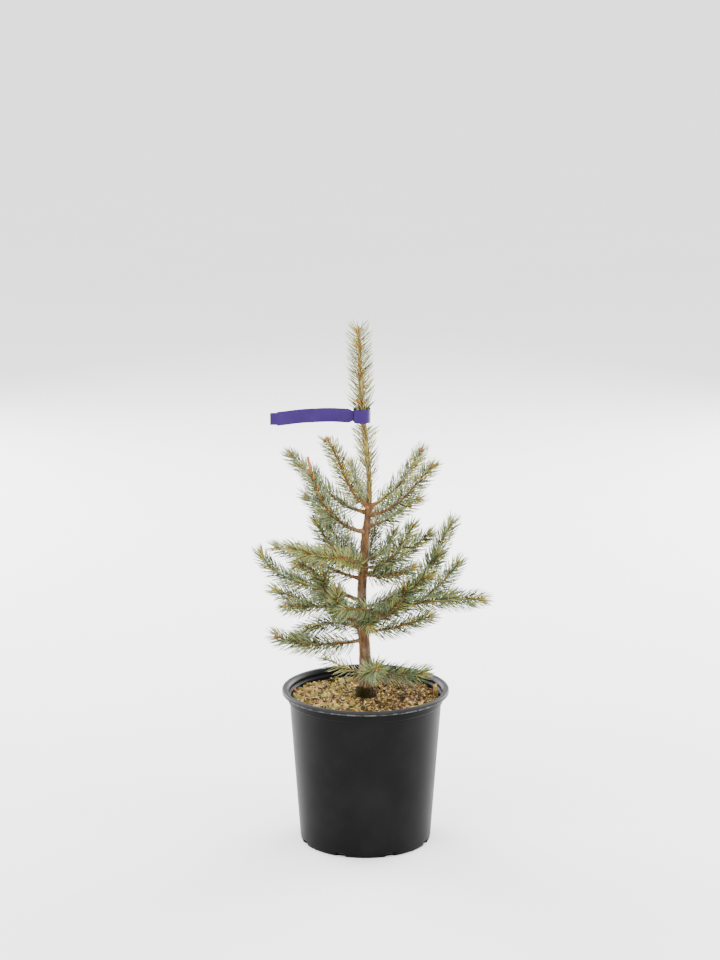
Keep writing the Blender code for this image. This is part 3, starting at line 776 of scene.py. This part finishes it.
def add_bud(heap, root, direction, length, radius):
    """Pointed egg: radius times sin(pi*t)^0.7 along its length, pulled to a point."""
    t = np.linspace(0.03, 0.985, 8)
    columns = 8
    angles = turns(columns)
    first, second = cross_frame(direction[None, :])
    ring = np.cos(angles)[:, None] * first + np.sin(angles)[:, None] * second
    swell = radius * np.sin(math.pi * t**0.8) ** 0.8
    centres = root + direction * (length * t)[:, None]
    heap.add_grid(centres[:, None, :] + swell[:, None, None] * ring[None, :, :])


class SPRUCE_OT_pot(bpy.types.Operator):
    """Turn the nursery pot: an outline with rounded corners carried round Z, its foot
    pushed in at each drain hole"""

    bl_idname = "spruce.pot"
    bl_label = "Pot"

    def execute(self, context):
        scene = context.scene
        sizes = scene.spruce_pot
        foot, lip, top = sizes.foot_radius, sizes.lip_radius, sizes.height
        under_lip = top - LIP_DROP
        wall = partial(outer_radius, foot)
        notch = DRAIN_HEIGHT - 0.0003
        corners = [
            (0, 0, 0),
            (foot - 0.008, 0, 0),
            (foot - 0.0005, 0, 0.003),
            (wall(notch), notch, 0),
            (wall(DRAIN_HEIGHT), DRAIN_HEIGHT, 0),
            (wall(0.06), 0.06, 0),
            (wall(0.12), 0.12, 0),
            (SHOULDER_RADIUS, SHOULDER_HEIGHT, 0.0008),
            (BAND_RADIUS - 0.0003, SHOULDER_HEIGHT + 0.0012, 0.0009),
            (BAND_RADIUS, under_lip, 0.0006),
            (lip, under_lip, 0.0016),
            (lip, top, 0.0022),
            (LIP_INNER_RADIUS, top, 0.0022),
            (BAND_RADIUS - WALL, top - 0.0042, 0.0012),
            (BAND_RADIUS - WALL, LEDGE + 0.0012, 0.0006),
            (inner_radius(LEDGE), LEDGE, 0.0008),
            (inner_radius(FLOOR), FLOOR, 0.001),
            (0, FLOOR, 0),
        ]
        outline = rounded(corners)[1:-1]
        grid = turned(outline, POT_COLUMNS)
        angles = turns(POT_COLUMNS)
        spacing = math.tau / DRAIN_HOLES
        off_hole = np.abs((angles % spacing) - spacing / 2) * foot
        radius = outline[:, 0][:, None]
        low = (outline[:, 1] < DRAIN_HEIGHT - 0.0001)[:, None] & (radius > foot - DRAIN_DEPTH)
        pushed = np.where(low & (off_hole < DRAIN_WIDTH / 2)[None, :], (foot - DRAIN_DEPTH) / radius, 1.0)
        grid[:, :, :2] *= pushed[:, :, None]
        heap = Heap()
        heap.add_grid(grid)
        item = heap.piece("pot_shell", plastic_finish(sizes.colour), "pot", ["pot"])
        item.data.set_sharp_from_angle(angle=math.radians(50))
        return {"FINISHED"}


class SPRUCE_OT_compost(bpy.types.Operator):
    """Fill the pot: a plug whose top is a lattice relief over its slope, bark chips laid
    on it at random tilts, a standing shard and moss at the trunk"""

    bl_idname = "spruce.compost"
    bl_label = "Compost"

    def execute(self, context):
        scene = context.scene
        sizes = scene.spruce_compost
        self.plug(sizes)
        self.chips(sizes)
        self.moss(sizes)
        return {"FINISHED"}

    def plug(self, sizes):
        """Rings: foot, wall, then the top inwards. Top height is the slope plus relief."""
        columns = 180
        edge = inner_radius(sizes.level) - 0.0006
        foot = inner_radius(FLOOR) - 0.0006
        angles = turns(columns)
        radii = np.concatenate([[0.01, foot, edge], np.linspace(edge - 0.0008, 0.004, 46)])
        x, y = radii[:, None] * np.cos(angles), radii[:, None] * np.sin(angles)
        top = soil_level(sizes, x, y)
        lumps = relief(angles[None, :] / math.tau, radii[:, None] / edge, (60, 22), 5)
        fine = relief(angles[None, :] / math.tau, radii[:, None] / edge, (150, 60), 6)
        seat = np.clip((radii - TRUNK_SEAT) / 0.01, 0, 1)[:, None]
        top = top + 0.0010 * lumps * seat + 0.0006 * fine - 0.0008
        height = np.where((np.arange(len(radii)) < 2)[:, None], FLOOR + 0.0003, top)
        heap = Heap()
        heap.add_grid(np.stack([x, y, height], -1))
        heap.piece("compost_bed", chip_finish("compost_fines", tuple(sizes.colour)), "compost", ["compost"])

    def chips(self, sizes):
        """Bent slabs of eight jittered corners, each turned and tilted at random."""
        rng = np.random.default_rng(11)
        count = sizes.chips
        edge = inner_radius(sizes.level) - 0.003
        away = edge * np.sqrt(rng.uniform(0.018, 1, count))
        bearing = rng.uniform(0, math.tau, count)
        x, y = away * np.cos(bearing), away * np.sin(bearing)
        length = sizes.chip_length * np.exp(rng.normal(0, 0.52, count)).clip(0.35, 3.4)
        width = length * rng.uniform(0.22, 0.55, count)
        thick = np.minimum(width * rng.uniform(0.2, 0.5, count), 0.0022)
        z = soil_level(sizes, x, y) + rng.uniform(-0.0010, 0.0032, count)
        centres = np.stack([x, y, z], -1)
        yaw = rng.uniform(0, math.tau, count)
        pitch, roll = rng.normal(0, 0.42, count), rng.normal(0, 0.5, count)
        ahead = np.stack([np.cos(yaw) * np.cos(pitch), np.sin(yaw) * np.cos(pitch), np.sin(pitch)], -1)
        first, second = cross_frame(ahead)
        across = np.cos(roll)[:, None] * first + np.sin(roll)[:, None] * second
        self.slabs(centres, ahead, across, length, width, thick, rng)
        place, lean, tall = (np.array(column) for column in zip(*SHARDS))
        lean = unit(lean)
        broad, _ = cross_frame(lean)
        chosen, thin = np.ones(len(tall), bool), np.full(len(tall), SHARD_THICK)
        jitter = rng.uniform(-1, 1, (len(tall), 8, 3))
        colour = CHIP_TINTS["ochre"][2]
        self.deal("shard", colour, chosen, place, lean, broad, tall, tall * 0.35, thin, jitter)

    def slabs(self, centres, ahead, across, length, width, thick, rng):
        jitter = rng.uniform(-1, 1, (len(centres), 8, 3))
        to_right = np.clip(0.5 + centres[:, :1] / 0.10 - centres[:, 1:2] / 0.35, 0, 1)
        left, right = (np.array([row[side] for row in CHIP_TINTS.values()]) for side in (0, 1))
        odds = np.cumsum(left * (1 - to_right) + right * to_right, 1)
        tint_of = (rng.uniform(0, 1, (len(centres), 1)) * odds[:, -1:] > odds).sum(1)
        for number, (tint, (_, _, colour)) in enumerate(CHIP_TINTS.items()):
            self.deal(tint, colour, tint_of == number, centres, ahead, across, length, width, thick, jitter)

    def deal(self, tint, colour, chosen, centres, ahead, across, length, width, thick, jitter):
        """One piece of all chips of a tint."""
        signs = np.array([[x, y, z] for z in (-1, 1) for x, y in ((-1, -1), (1, -1), (1, 1), (-1, 1))], float)
        corners = signs[None, :, :] * (1 + 0.35 * jitter[chosen])
        up = np.cross(ahead, across)
        axes = np.stack([ahead, across, up], 1)[chosen]
        half = np.stack([length, width, thick], -1)[chosen] / 2
        points = centres[chosen][:, None, :] + np.einsum("nci,nij->ncj", corners * half[:, None, :], axes)
        count = len(points)
        base = np.arange(count)[:, None, None] * 8
        sides = np.array([[0, 3, 2, 1], [4, 5, 6, 7], [0, 1, 5, 4], [1, 2, 6, 5], [2, 3, 7, 6], [3, 0, 4, 7]])
        heap = Heap()
        heap.add(points.reshape(-1, 3), (base + sides).reshape(-1, 4), np.zeros((0, 3), int))
        heap.piece("chips_" + tint, chip_finish("bark_chip_" + tint, colour), "compost", flat=True)

    def moss(self, sizes):
        """Short dark blades hanging at the trunk's foot, and a mossy ball at the back."""
        rng = np.random.default_rng(17)
        count = MOSS_BLADES
        bearing = np.radians(rng.normal(250, 48, count))
        height = sizes.level + rng.uniform(0.002, 0.017, count)
        outward = np.stack([np.cos(bearing), np.sin(bearing), np.zeros(count)], -1)
        roots = trunk_points(height) + outward * (trunk_radii(height) * 0.96)[:, None]
        droop = UP * rng.uniform(-1.4, 0.3, count)[:, None]
        directions = unit(outward + droop + rng.normal(0, 0.25, (count, 3)))
        lengths = rng.uniform(0.003, 0.0085, count)
        heap = Heap()
        hang = -0.4 * np.tile(UP, (count, 1))
        add_needles(heap, roots, directions, hang, lengths, np.full(count, MOSS_WIDTH))
        count = MOSS_BALL_BLADES
        spray = unit(rng.normal(0, 1, (count, 3)) + UP * 0.4)
        roots = np.array(MOSS_BALL) + spray * 0.003
        lengths = rng.uniform(0.002, 0.0038, count)
        add_needles(heap, roots, spray, spray * 0.0, lengths, np.full(count, MOSS_WIDTH))
        heap.piece("moss", needle_finish("moss_green", (0.036, 0.029, 0.008), 0.05), "compost")
        self.litter()

    def litter(self):
        """Fallen needles lying on the chips, each on the slope and turned at random."""
        rng = np.random.default_rng(19)
        count = FALLEN_NEEDLES
        away = FALLEN_REACH * np.sqrt(rng.uniform(0.05, 1, count))
        bearing = rng.uniform(0, math.tau, count)
        x, y = away * np.cos(bearing), away * np.sin(bearing)
        level = soil_level(bpy.context.scene.spruce_compost, x, y)
        roots = np.stack([x, y, level + rng.uniform(0.0010, 0.0026, count)], -1)
        turn = rng.uniform(0, math.tau, count)
        directions = unit(np.stack([np.cos(turn), np.sin(turn), rng.normal(0.02, 0.12, count)], -1))
        lengths = rng.uniform(0.006, 0.013, count)
        ends = roots + directions * lengths[:, None]
        inside = np.hypot(ends[:, 0], ends[:, 1]) < FALLEN_REACH + 0.002
        roots, directions, lengths = roots[inside], directions[inside], lengths[inside]
        bends = 0.08 * directions[:, ::-1] * np.array([1, 1, 0])
        heap = Heap()
        add_needles(heap, roots, directions, bends, lengths, np.full(len(roots), FALLEN_WIDTH))
        heap.piece("fallen_needles", needle_finish("needle_fallen", (0.16, 0.09, 0.026)), "compost")


class SPRUCE_OT_trunk(bpy.types.Operator):
    """Grow the trunk: rings on its lean, radius from the stations plus flare, root lobes,
    whorl collars and two lattices of bark relief"""

    bl_idname = "spruce.trunk"
    bl_label = "Trunk"

    def execute(self, context):
        scene = context.scene
        sizes = scene.spruce_wood
        foot, tip = TRUNK[0][0], TRUNK[-1][0]
        heights = np.linspace(foot, tip, 460)
        columns = 60
        angles = turns(columns)
        share = (heights - foot) / (tip - foot)
        thicker = 0.0012 * np.clip((heights - 0.50) / 0.19, 0, 1)
        radii = trunk_radii(heights) + thicker * np.clip((tip - heights) / 0.006, 0, 1)
        for whorl in WHORLS:
            radii = radii + 0.0010 * np.exp(-(((heights - whorl) / 0.005) ** 2))
        around = angles[None, :] / math.tau
        ridges = relief(around, share[:, None], (22, 46), 2)
        scales = relief(around, share[:, None], (30, 190), 3)
        depth = sizes.relief * np.clip(radii / 0.008, 0.25, 1.2)
        fading = np.exp(-(heights - foot) / FLARE_REACH)[:, None]
        lobes = 0.10 * fading * (np.cos(ROOT_LOBES * angles)[None, :] - 1)
        radius = radii[:, None] * (1 + lobes) + depth[:, None] * (0.65 * ridges + 0.45 * scales - 0.2)
        ring = np.stack([np.cos(angles), np.sin(angles), np.zeros(columns)], -1)
        heap = Heap()
        heap.add_grid(trunk_points(heights)[:, None, :] + radius[:, :, None] * ring[None, :, :])
        material = bark_finish("trunk_bark", tuple(sizes.bark), 1.0, LEADER_WOOD)
        heap.piece("trunk_bark", material, "bark", ["trunk"])
        return {"FINISHED"}


class SPRUCE_OT_limbs(bpy.types.Operator):
    """Grow the boughs and twigs: tapering tubes along each limb's path, the older wood
    of the inner part apart from the orange young wood"""

    bl_idname = "spruce.limbs"
    bl_label = "Boughs and twigs"

    def execute(self, context):
        scene = context.scene
        sizes = scene.spruce_wood
        old, young = Heap(), Heap()
        limbs = all_limbs()
        for number, (name, path) in enumerate(limb_paths().items()):
            length = limbs[name][5]
            start = 0.003 / length if limbs[name][0] == "trunk" else 0.0
            add_limb(old, path, length, start, OLD_WOOD, 40 + number)
            add_limb(young, path, length, OLD_WOOD - 0.02, BARE_TIPS.get(name, 1.0), 90 + number)
        boughs = [node for node in NODES if node.startswith("bough_")]
        brown = shade(tuple(sizes.bark), 1.4)
        old.piece("boughs", bark_finish("bough_bark", brown, 1.6), "bark", boughs)
        young.piece("twigs", bark_finish("twig_bark", tuple(sizes.twig), 2.4), "bark")
        return {"FINISHED"}


class SPRUCE_OT_needles(bpy.types.Operator):
    """Grow the needles of every shoot along a spiral, leaning more to the tip near it,
    and deal them out into one piece for each tint"""

    bl_idname = "spruce.needles"
    bl_label = "Needles"

    def execute(self, context):
        scene = context.scene
        sizes = scene.spruce_needles
        level = scene.spruce_compost.level
        heaps = {tint: Heap() for tint in NEEDLE_TINTS}
        limbs = all_limbs()
        for number, (name, path) in enumerate(limb_paths().items()):
            rng = np.random.default_rng(200 + number)
            length = limbs[name][5]
            start = BARE_ROOT if limbs[name][0] == "trunk" else 0.04
            end, thick = BARE_TIPS.get(name, 1.0), THIN_SHOOTS.get(name, 1.0)
            shoot = grow(path, length, sizes, rng, start, end, partial(limb_radii, length), thick)
            shoot = (*shoot[:3], shoot[3] * LONG_NEEDLES.get(name, 1.0), shoot[4])
            kind = 1 if name in YELLOWISH else 2 if name in DARK_LIMBS else 0
            self.deal(heaps, shoot, kind, level, sizes, rng)
        self.leader(heaps, level, sizes)
        masses = [node for node in NODES if node.startswith("needles_")]
        for tint, heap in heaps.items():
            replaced = masses if tint == "blue" else ()
            colour = tuple(getattr(sizes, tint))
            heap.piece("needles_of_" + tint, needle_finish("needle_" + tint, colour), "needles", replaced)
        return {"FINISHED"}

    def leader(self, heaps, level, sizes):
        """Needles round the top of the trunk, longest and widest apart near its tip."""
        rng = np.random.default_rng(77)
        top = TRUNK[-1][0]
        path = trunk_points(np.linspace(LEADER_FOOT, top, 80))
        length = top - LEADER_FOOT
        shoot = grow(path, length, sizes, rng, 0.0, 1.0, partial(leader_radii, length), 0.85, (46, 60, 50))
        roots, directions, bends, lengths, shares = shoot
        lengths = lengths * (1.0 + 0.22 * shares)
        directions, lengths, held = self.pressed(roots, directions, lengths)
        bends = bends * np.where(held, 0.0, 0.6)[:, None]
        self.deal(heaps, (roots, directions, bends, lengths, shares), 1, level, sizes, rng)

    def pressed(self, roots, directions, lengths):
        """Directions and lengths by the label. Needles in its loop lie along the stem;
        those under it rise less and are shorter, to fit below. Also says which."""
        low, high = LABEL_HEIGHT - LABEL_WIDTH / 2 - 0.003, LABEL_HEIGHT + LABEL_WIDTH / 2
        room = low - roots[:, 2]
        rise = np.arcsin(directions[:, 2].clip(-1, 1))
        under = (room > 0) & (room < lengths * directions[:, 2] * 1.25)
        inside = (room <= 0) & (roots[:, 2] < high)
        steep = np.arctan2(np.maximum(high - roots[:, 2], 0.001), LOOP_RADIUS - 0.0075)
        rise = np.where(under, np.minimum(rise, UNDER_LABEL_RISE), rise)
        rise = np.where(inside, np.maximum(steep, rise), rise)
        fit = np.clip(room / (lengths * np.maximum(np.sin(rise), 0.05)), 0.45, 1)
        flat = unit(directions[:, :2])
        directions = np.column_stack([flat * np.cos(rise)[:, None], np.sin(rise)])
        return directions, np.where(under, lengths * fit, lengths), under | inside

    def deal(self, heaps, shoot, kind, level, sizes, rng):
        """Skips needles that would not be clear and deals out the rest, by the odds of
        the shoot's kind and more yellow towards its tip."""
        roots, directions, bends, lengths, along = shoot
        shares = np.array([0.35, 0.7, 1.0])[None, :, None]
        reach = lengths[:, None, None] * shares
        line = roots[:, None, :] + directions[:, None, :] * reach + bends[:, None, :] * reach * shares
        clear = needle_clear(line, level).all(1)
        tip = np.clip((along - 0.55) / 0.45, 0, 1)[:, None] * 0.6
        own, fresh = (np.array([row[column] for row in NEEDLE_TINTS.values()]) for column in (kind, 1))
        odds = np.cumsum(own * (1 - tip) + fresh * tip, 1)
        lot = (rng.uniform(0, 1, (len(roots), 1)) * odds[:, -1:] > odds).sum(1)
        widths = sizes.width * rng.normal(1, 0.1, len(roots)).clip(0.7, 1.3)
        for number, heap in enumerate(heaps.values()):
            chosen = clear & (lot == number)
            add_needles(heap, *(values[chosen] for values in (roots, directions, bends, lengths, widths)))


class SPRUCE_OT_buds(bpy.types.Operator):
    """Set the buds: one at each shoot's tip with smaller ones round it, some along the
    upper shoots, and those of the leader"""

    bl_idname = "spruce.buds"
    bl_label = "Buds"

    def execute(self, context):
        scene = context.scene
        rng = np.random.default_rng(31)
        heap = Heap()
        for name, path in limb_paths().items():
            if name in BARE_TIPS:
                self.stub(heap, path, BARE_TIPS[name], rng)
            else:
                size = 1.0 if name.startswith("upper") else 0.72
                self.cluster(heap, at(path, 1.0)[0], headings(path, 1.0)[0], rng, 3, size)
            if name.startswith("upper"):
                for share in (0.62, 0.80):
                    self.side_bud(heap, at(path, share)[0], headings(path, share)[0], rng, 0.0016)
        tip = trunk_points(TRUNK[-1][0])[0]
        self.cluster(heap, tip - UP * 0.002, UP, rng, 5, 1.15)
        for height, azimuth in LEADER_BUDS:
            angle = math.radians(azimuth)
            outward = np.array([math.cos(angle), math.sin(angle), 0.0])
            root = trunk_points(height)[0] + outward * trunk_radii(height)[0] * 0.8
            length, radius = rng.uniform(0.0065, 0.0085), rng.uniform(0.0026, 0.0031)
            add_bud(heap, root, unit(outward + UP * 0.7), length, radius)
        heap.piece("buds", bud_finish(tuple(scene.spruce_wood.bud)), "bark")
        return {"FINISHED"}

    def stub(self, heap, path, start, rng):
        """Cut end: a rod of even thickness, cut flat, with buds round its foot."""
        shares = np.linspace(start - 0.01, 1.0, 24)
        first, second = cross_frame(headings(path, shares))
        angles = turns(12)
        ring = rings(angles, first, second)
        bumps = relief(np.arange(12)[None, :] / 12, np.linspace(0, 1, 24)[:, None], (5, 9), 8)
        radius = STUB_RADIUS + STUB_RELIEF * bumps
        heap.add_grid(at(path, shares)[:, None, :] + radius[:, :, None] * ring)
        for ahead in STUB_BUDS:
            share = start + ahead
            self.side_bud(heap, at(path, share)[0], headings(path, share)[0], rng, 0.0016)

    def cluster(self, heap, root, forward, rng, around, size):
        """End bud with smaller ones round it."""
        add_bud(heap, root - forward * 0.001, forward, 0.0072 * size, 0.0025 * size)
        for number in range(around):
            angle = math.tau * number / around + rng.uniform(-0.4, 0.4)
            self.side_bud(heap, root - forward * 0.0012, forward, rng, 0.0008, angle, size)

    def side_bud(self, heap, root, forward, rng, away, angle=None, size=1.0):
        """Bud that stands off the shoot by away at an angle round it."""
        angle = rng.uniform(0, math.tau) if angle is None else angle
        first, second = cross_frame(forward[None, :])
        outward = math.cos(angle) * first[0] + math.sin(angle) * second[0]
        add_bud(heap, root + outward * away, unit(forward + outward * 1.1), 0.0060 * size, 0.0021 * size)


class SPRUCE_OT_label(bpy.types.Operator):
    """Loop the bare wrap label round the leader: a thin strip on edge along a straight
    tail and a turn, its height an arch, its width narrower at the tab and the neck"""

    bl_idname = "spruce.label"
    bl_label = "Wrap label"

    def execute(self, context):
        scene = context.scene
        tail_end = np.array([LABEL_END, LABEL_FRONT])
        tab = np.array([LABEL_END + LABEL_TAB, LABEL_FRONT])
        turn = np.linspace(0, 1, 120)
        angles = np.radians(LOOP_START + LOOP_SWEEP * turn)
        radius = LOOP_RADIUS - 0.001 * turn
        loop = np.array(LOOP_CENTRE) + radius[:, None] * np.stack([np.cos(angles), np.sin(angles)], -1)
        share = np.linspace(0, 0.97, 90)[:, None]
        bow = 0.002 * np.sin(math.pi * share) + 0.0006 * np.sin(5 * math.pi * share)
        tail = tab * (1 - share) + loop[0] * share - np.array([[0.0, 1.0]]) * bow
        step = np.array([[0.0], [0.5], [0.96], [0.99]])
        front = tail_end * (1 - step) + tab * step
        route = np.vstack([front, tail, loop])
        count = len(route)
        reach = np.clip((np.arange(count) - len(front)) / len(tail), 0, 1)
        middle = LABEL_HEIGHT - 0.001 + LABEL_LIFT * np.sin(0.8 * math.pi * reach)
        width = np.where(np.arange(count) < len(front), LABEL_TAB_WIDTH, LABEL_WIDTH)
        away = np.linalg.norm(route - loop[0], axis=1)
        neck = np.exp(-((away / 0.0032) ** 2)) * (np.arange(count) > len(front) + 40)
        width = width - (LABEL_WIDTH - LABEL_NECK_WIDTH) * neck
        ahead = unit(np.gradient(route, axis=0))
        across = np.stack([-ahead[:, 1], ahead[:, 0]], -1) * LABEL_THICK / 2
        sides = [(-1, -1), (1, -1), (1, 1), (-1, 1)]
        ring = [
            np.column_stack([route + side * across, middle + level * width / 2]) for side, level in sides
        ]
        heap = Heap()
        heap.add_grid(np.stack(ring, 1))
        material = label_finish(tuple(scene.spruce_label.colour))
        item = heap.piece("label_strip", material, "label", ["wrap_label"])
        item.data.set_sharp_from_angle(angle=math.radians(40))
        return {"FINISHED"}


class SPRUCE_OT_stage(bpy.types.Operator):
    """Set the stage: a wide pale floor, soft light from above and both sides, and the
    photograph's camera"""

    bl_idname = "spruce.stage"
    bl_label = "Stage"

    def execute(self, context):
        scene = context.scene
        mesh = bpy.data.meshes.new("floor")
        corners = [(x * FLOOR_REACH, y * FLOOR_REACH, 0) for x, y in ((-1, -1), (1, -1), (1, 1), (-1, 1))]
        mesh.from_pydata(corners, [], [(0, 1, 2, 3)])
        mesh.materials.append(stage_finish())
        floor = bpy.data.objects.new("floor", mesh)
        scene.collection.objects.link(floor)
        world = bpy.data.worlds.new("studio")
        world.use_nodes = True
        background = world.node_tree.nodes["Background"]
        background.inputs["Color"].default_value = (1.0, 1.0, 1.0, 1.0)
        background.inputs["Strength"].default_value = SKY_STRENGTH
        scene.world = world
        for lamp in LAMPS:
            self.light(scene, *lamp)
        camera = bpy.data.objects.new("camera", bpy.data.cameras.new("camera"))
        camera.data.lens = CAMERA_LENS
        camera.data.sensor_width = 36.0
        camera.data.sensor_fit = "AUTO"
        camera.data.clip_end = 200.0
        camera.location = CAMERA_PLACE
        camera.rotation_euler = (math.radians(90 - CAMERA_TILT), 0, 0)
        scene.collection.objects.link(camera)
        scene.camera = camera
        return {"FINISHED"}

    def light(self, scene, name, place, size, power):
        """Square lamp that faces the middle of the tree."""
        lamp = bpy.data.lights.new(name, "AREA")
        lamp.size = size
        lamp.energy = power
        item = bpy.data.objects.new(name, lamp)
        item.location = place
        item.visible_camera = False
        aim = unit(np.array(LAMP_AIM) - np.array(place))
        item.rotation_euler = (math.acos(-aim[2]), 0, math.atan2(aim[1], aim[0]) - math.pi / 2)
        scene.collection.objects.link(item)


OPERATORS = (
    SPRUCE_OT_pot, SPRUCE_OT_compost, SPRUCE_OT_trunk, SPRUCE_OT_limbs, SPRUCE_OT_needles, SPRUCE_OT_buds,
    SPRUCE_OT_label, SPRUCE_OT_stage,
)
GROUPS = {
    "spruce_pot": PotSizes,
    "spruce_compost": CompostSizes,
    "spruce_wood": WoodSizes,
    "spruce_needles": NeedleSizes,
    "spruce_label": LabelSizes,
}


class SPRUCE_PT_panel(bpy.types.Panel):
    """Sidebar panel with the sizes and one button for each piece"""

    bl_label = "Potted spruce"
    bl_idname = "SPRUCE_PT_panel"
    bl_space_type = "VIEW_3D"
    bl_region_type = "UI"
    bl_category = "Spruce"

    def draw(self, context):
        for title in GROUPS:
            group = getattr(context.scene, title)
            box = self.layout.box()
            for size in group.__annotations__:
                box.prop(group, size)
        for operator in OPERATORS:
            self.layout.operator(operator.bl_idname)


def register():
    for title, group in GROUPS.items():
        bpy.utils.register_class(group)
        setattr(bpy.types.Scene, title, PointerProperty(type=group))
    for item in (*OPERATORS, SPRUCE_PT_panel):
        bpy.utils.register_class(item)


def unregister():
    for item in (SPRUCE_PT_panel, *reversed(OPERATORS)):
        bpy.utils.unregister_class(item)
    for title, group in reversed(GROUPS.items()):
        delattr(bpy.types.Scene, title)
        bpy.utils.unregister_class(group)


def main():
    register()
    for operator in OPERATORS:
        family, name = operator.bl_idname.split(".")
        getattr(getattr(bpy.ops, family), name)()


if __name__ == "__main__":
    main()
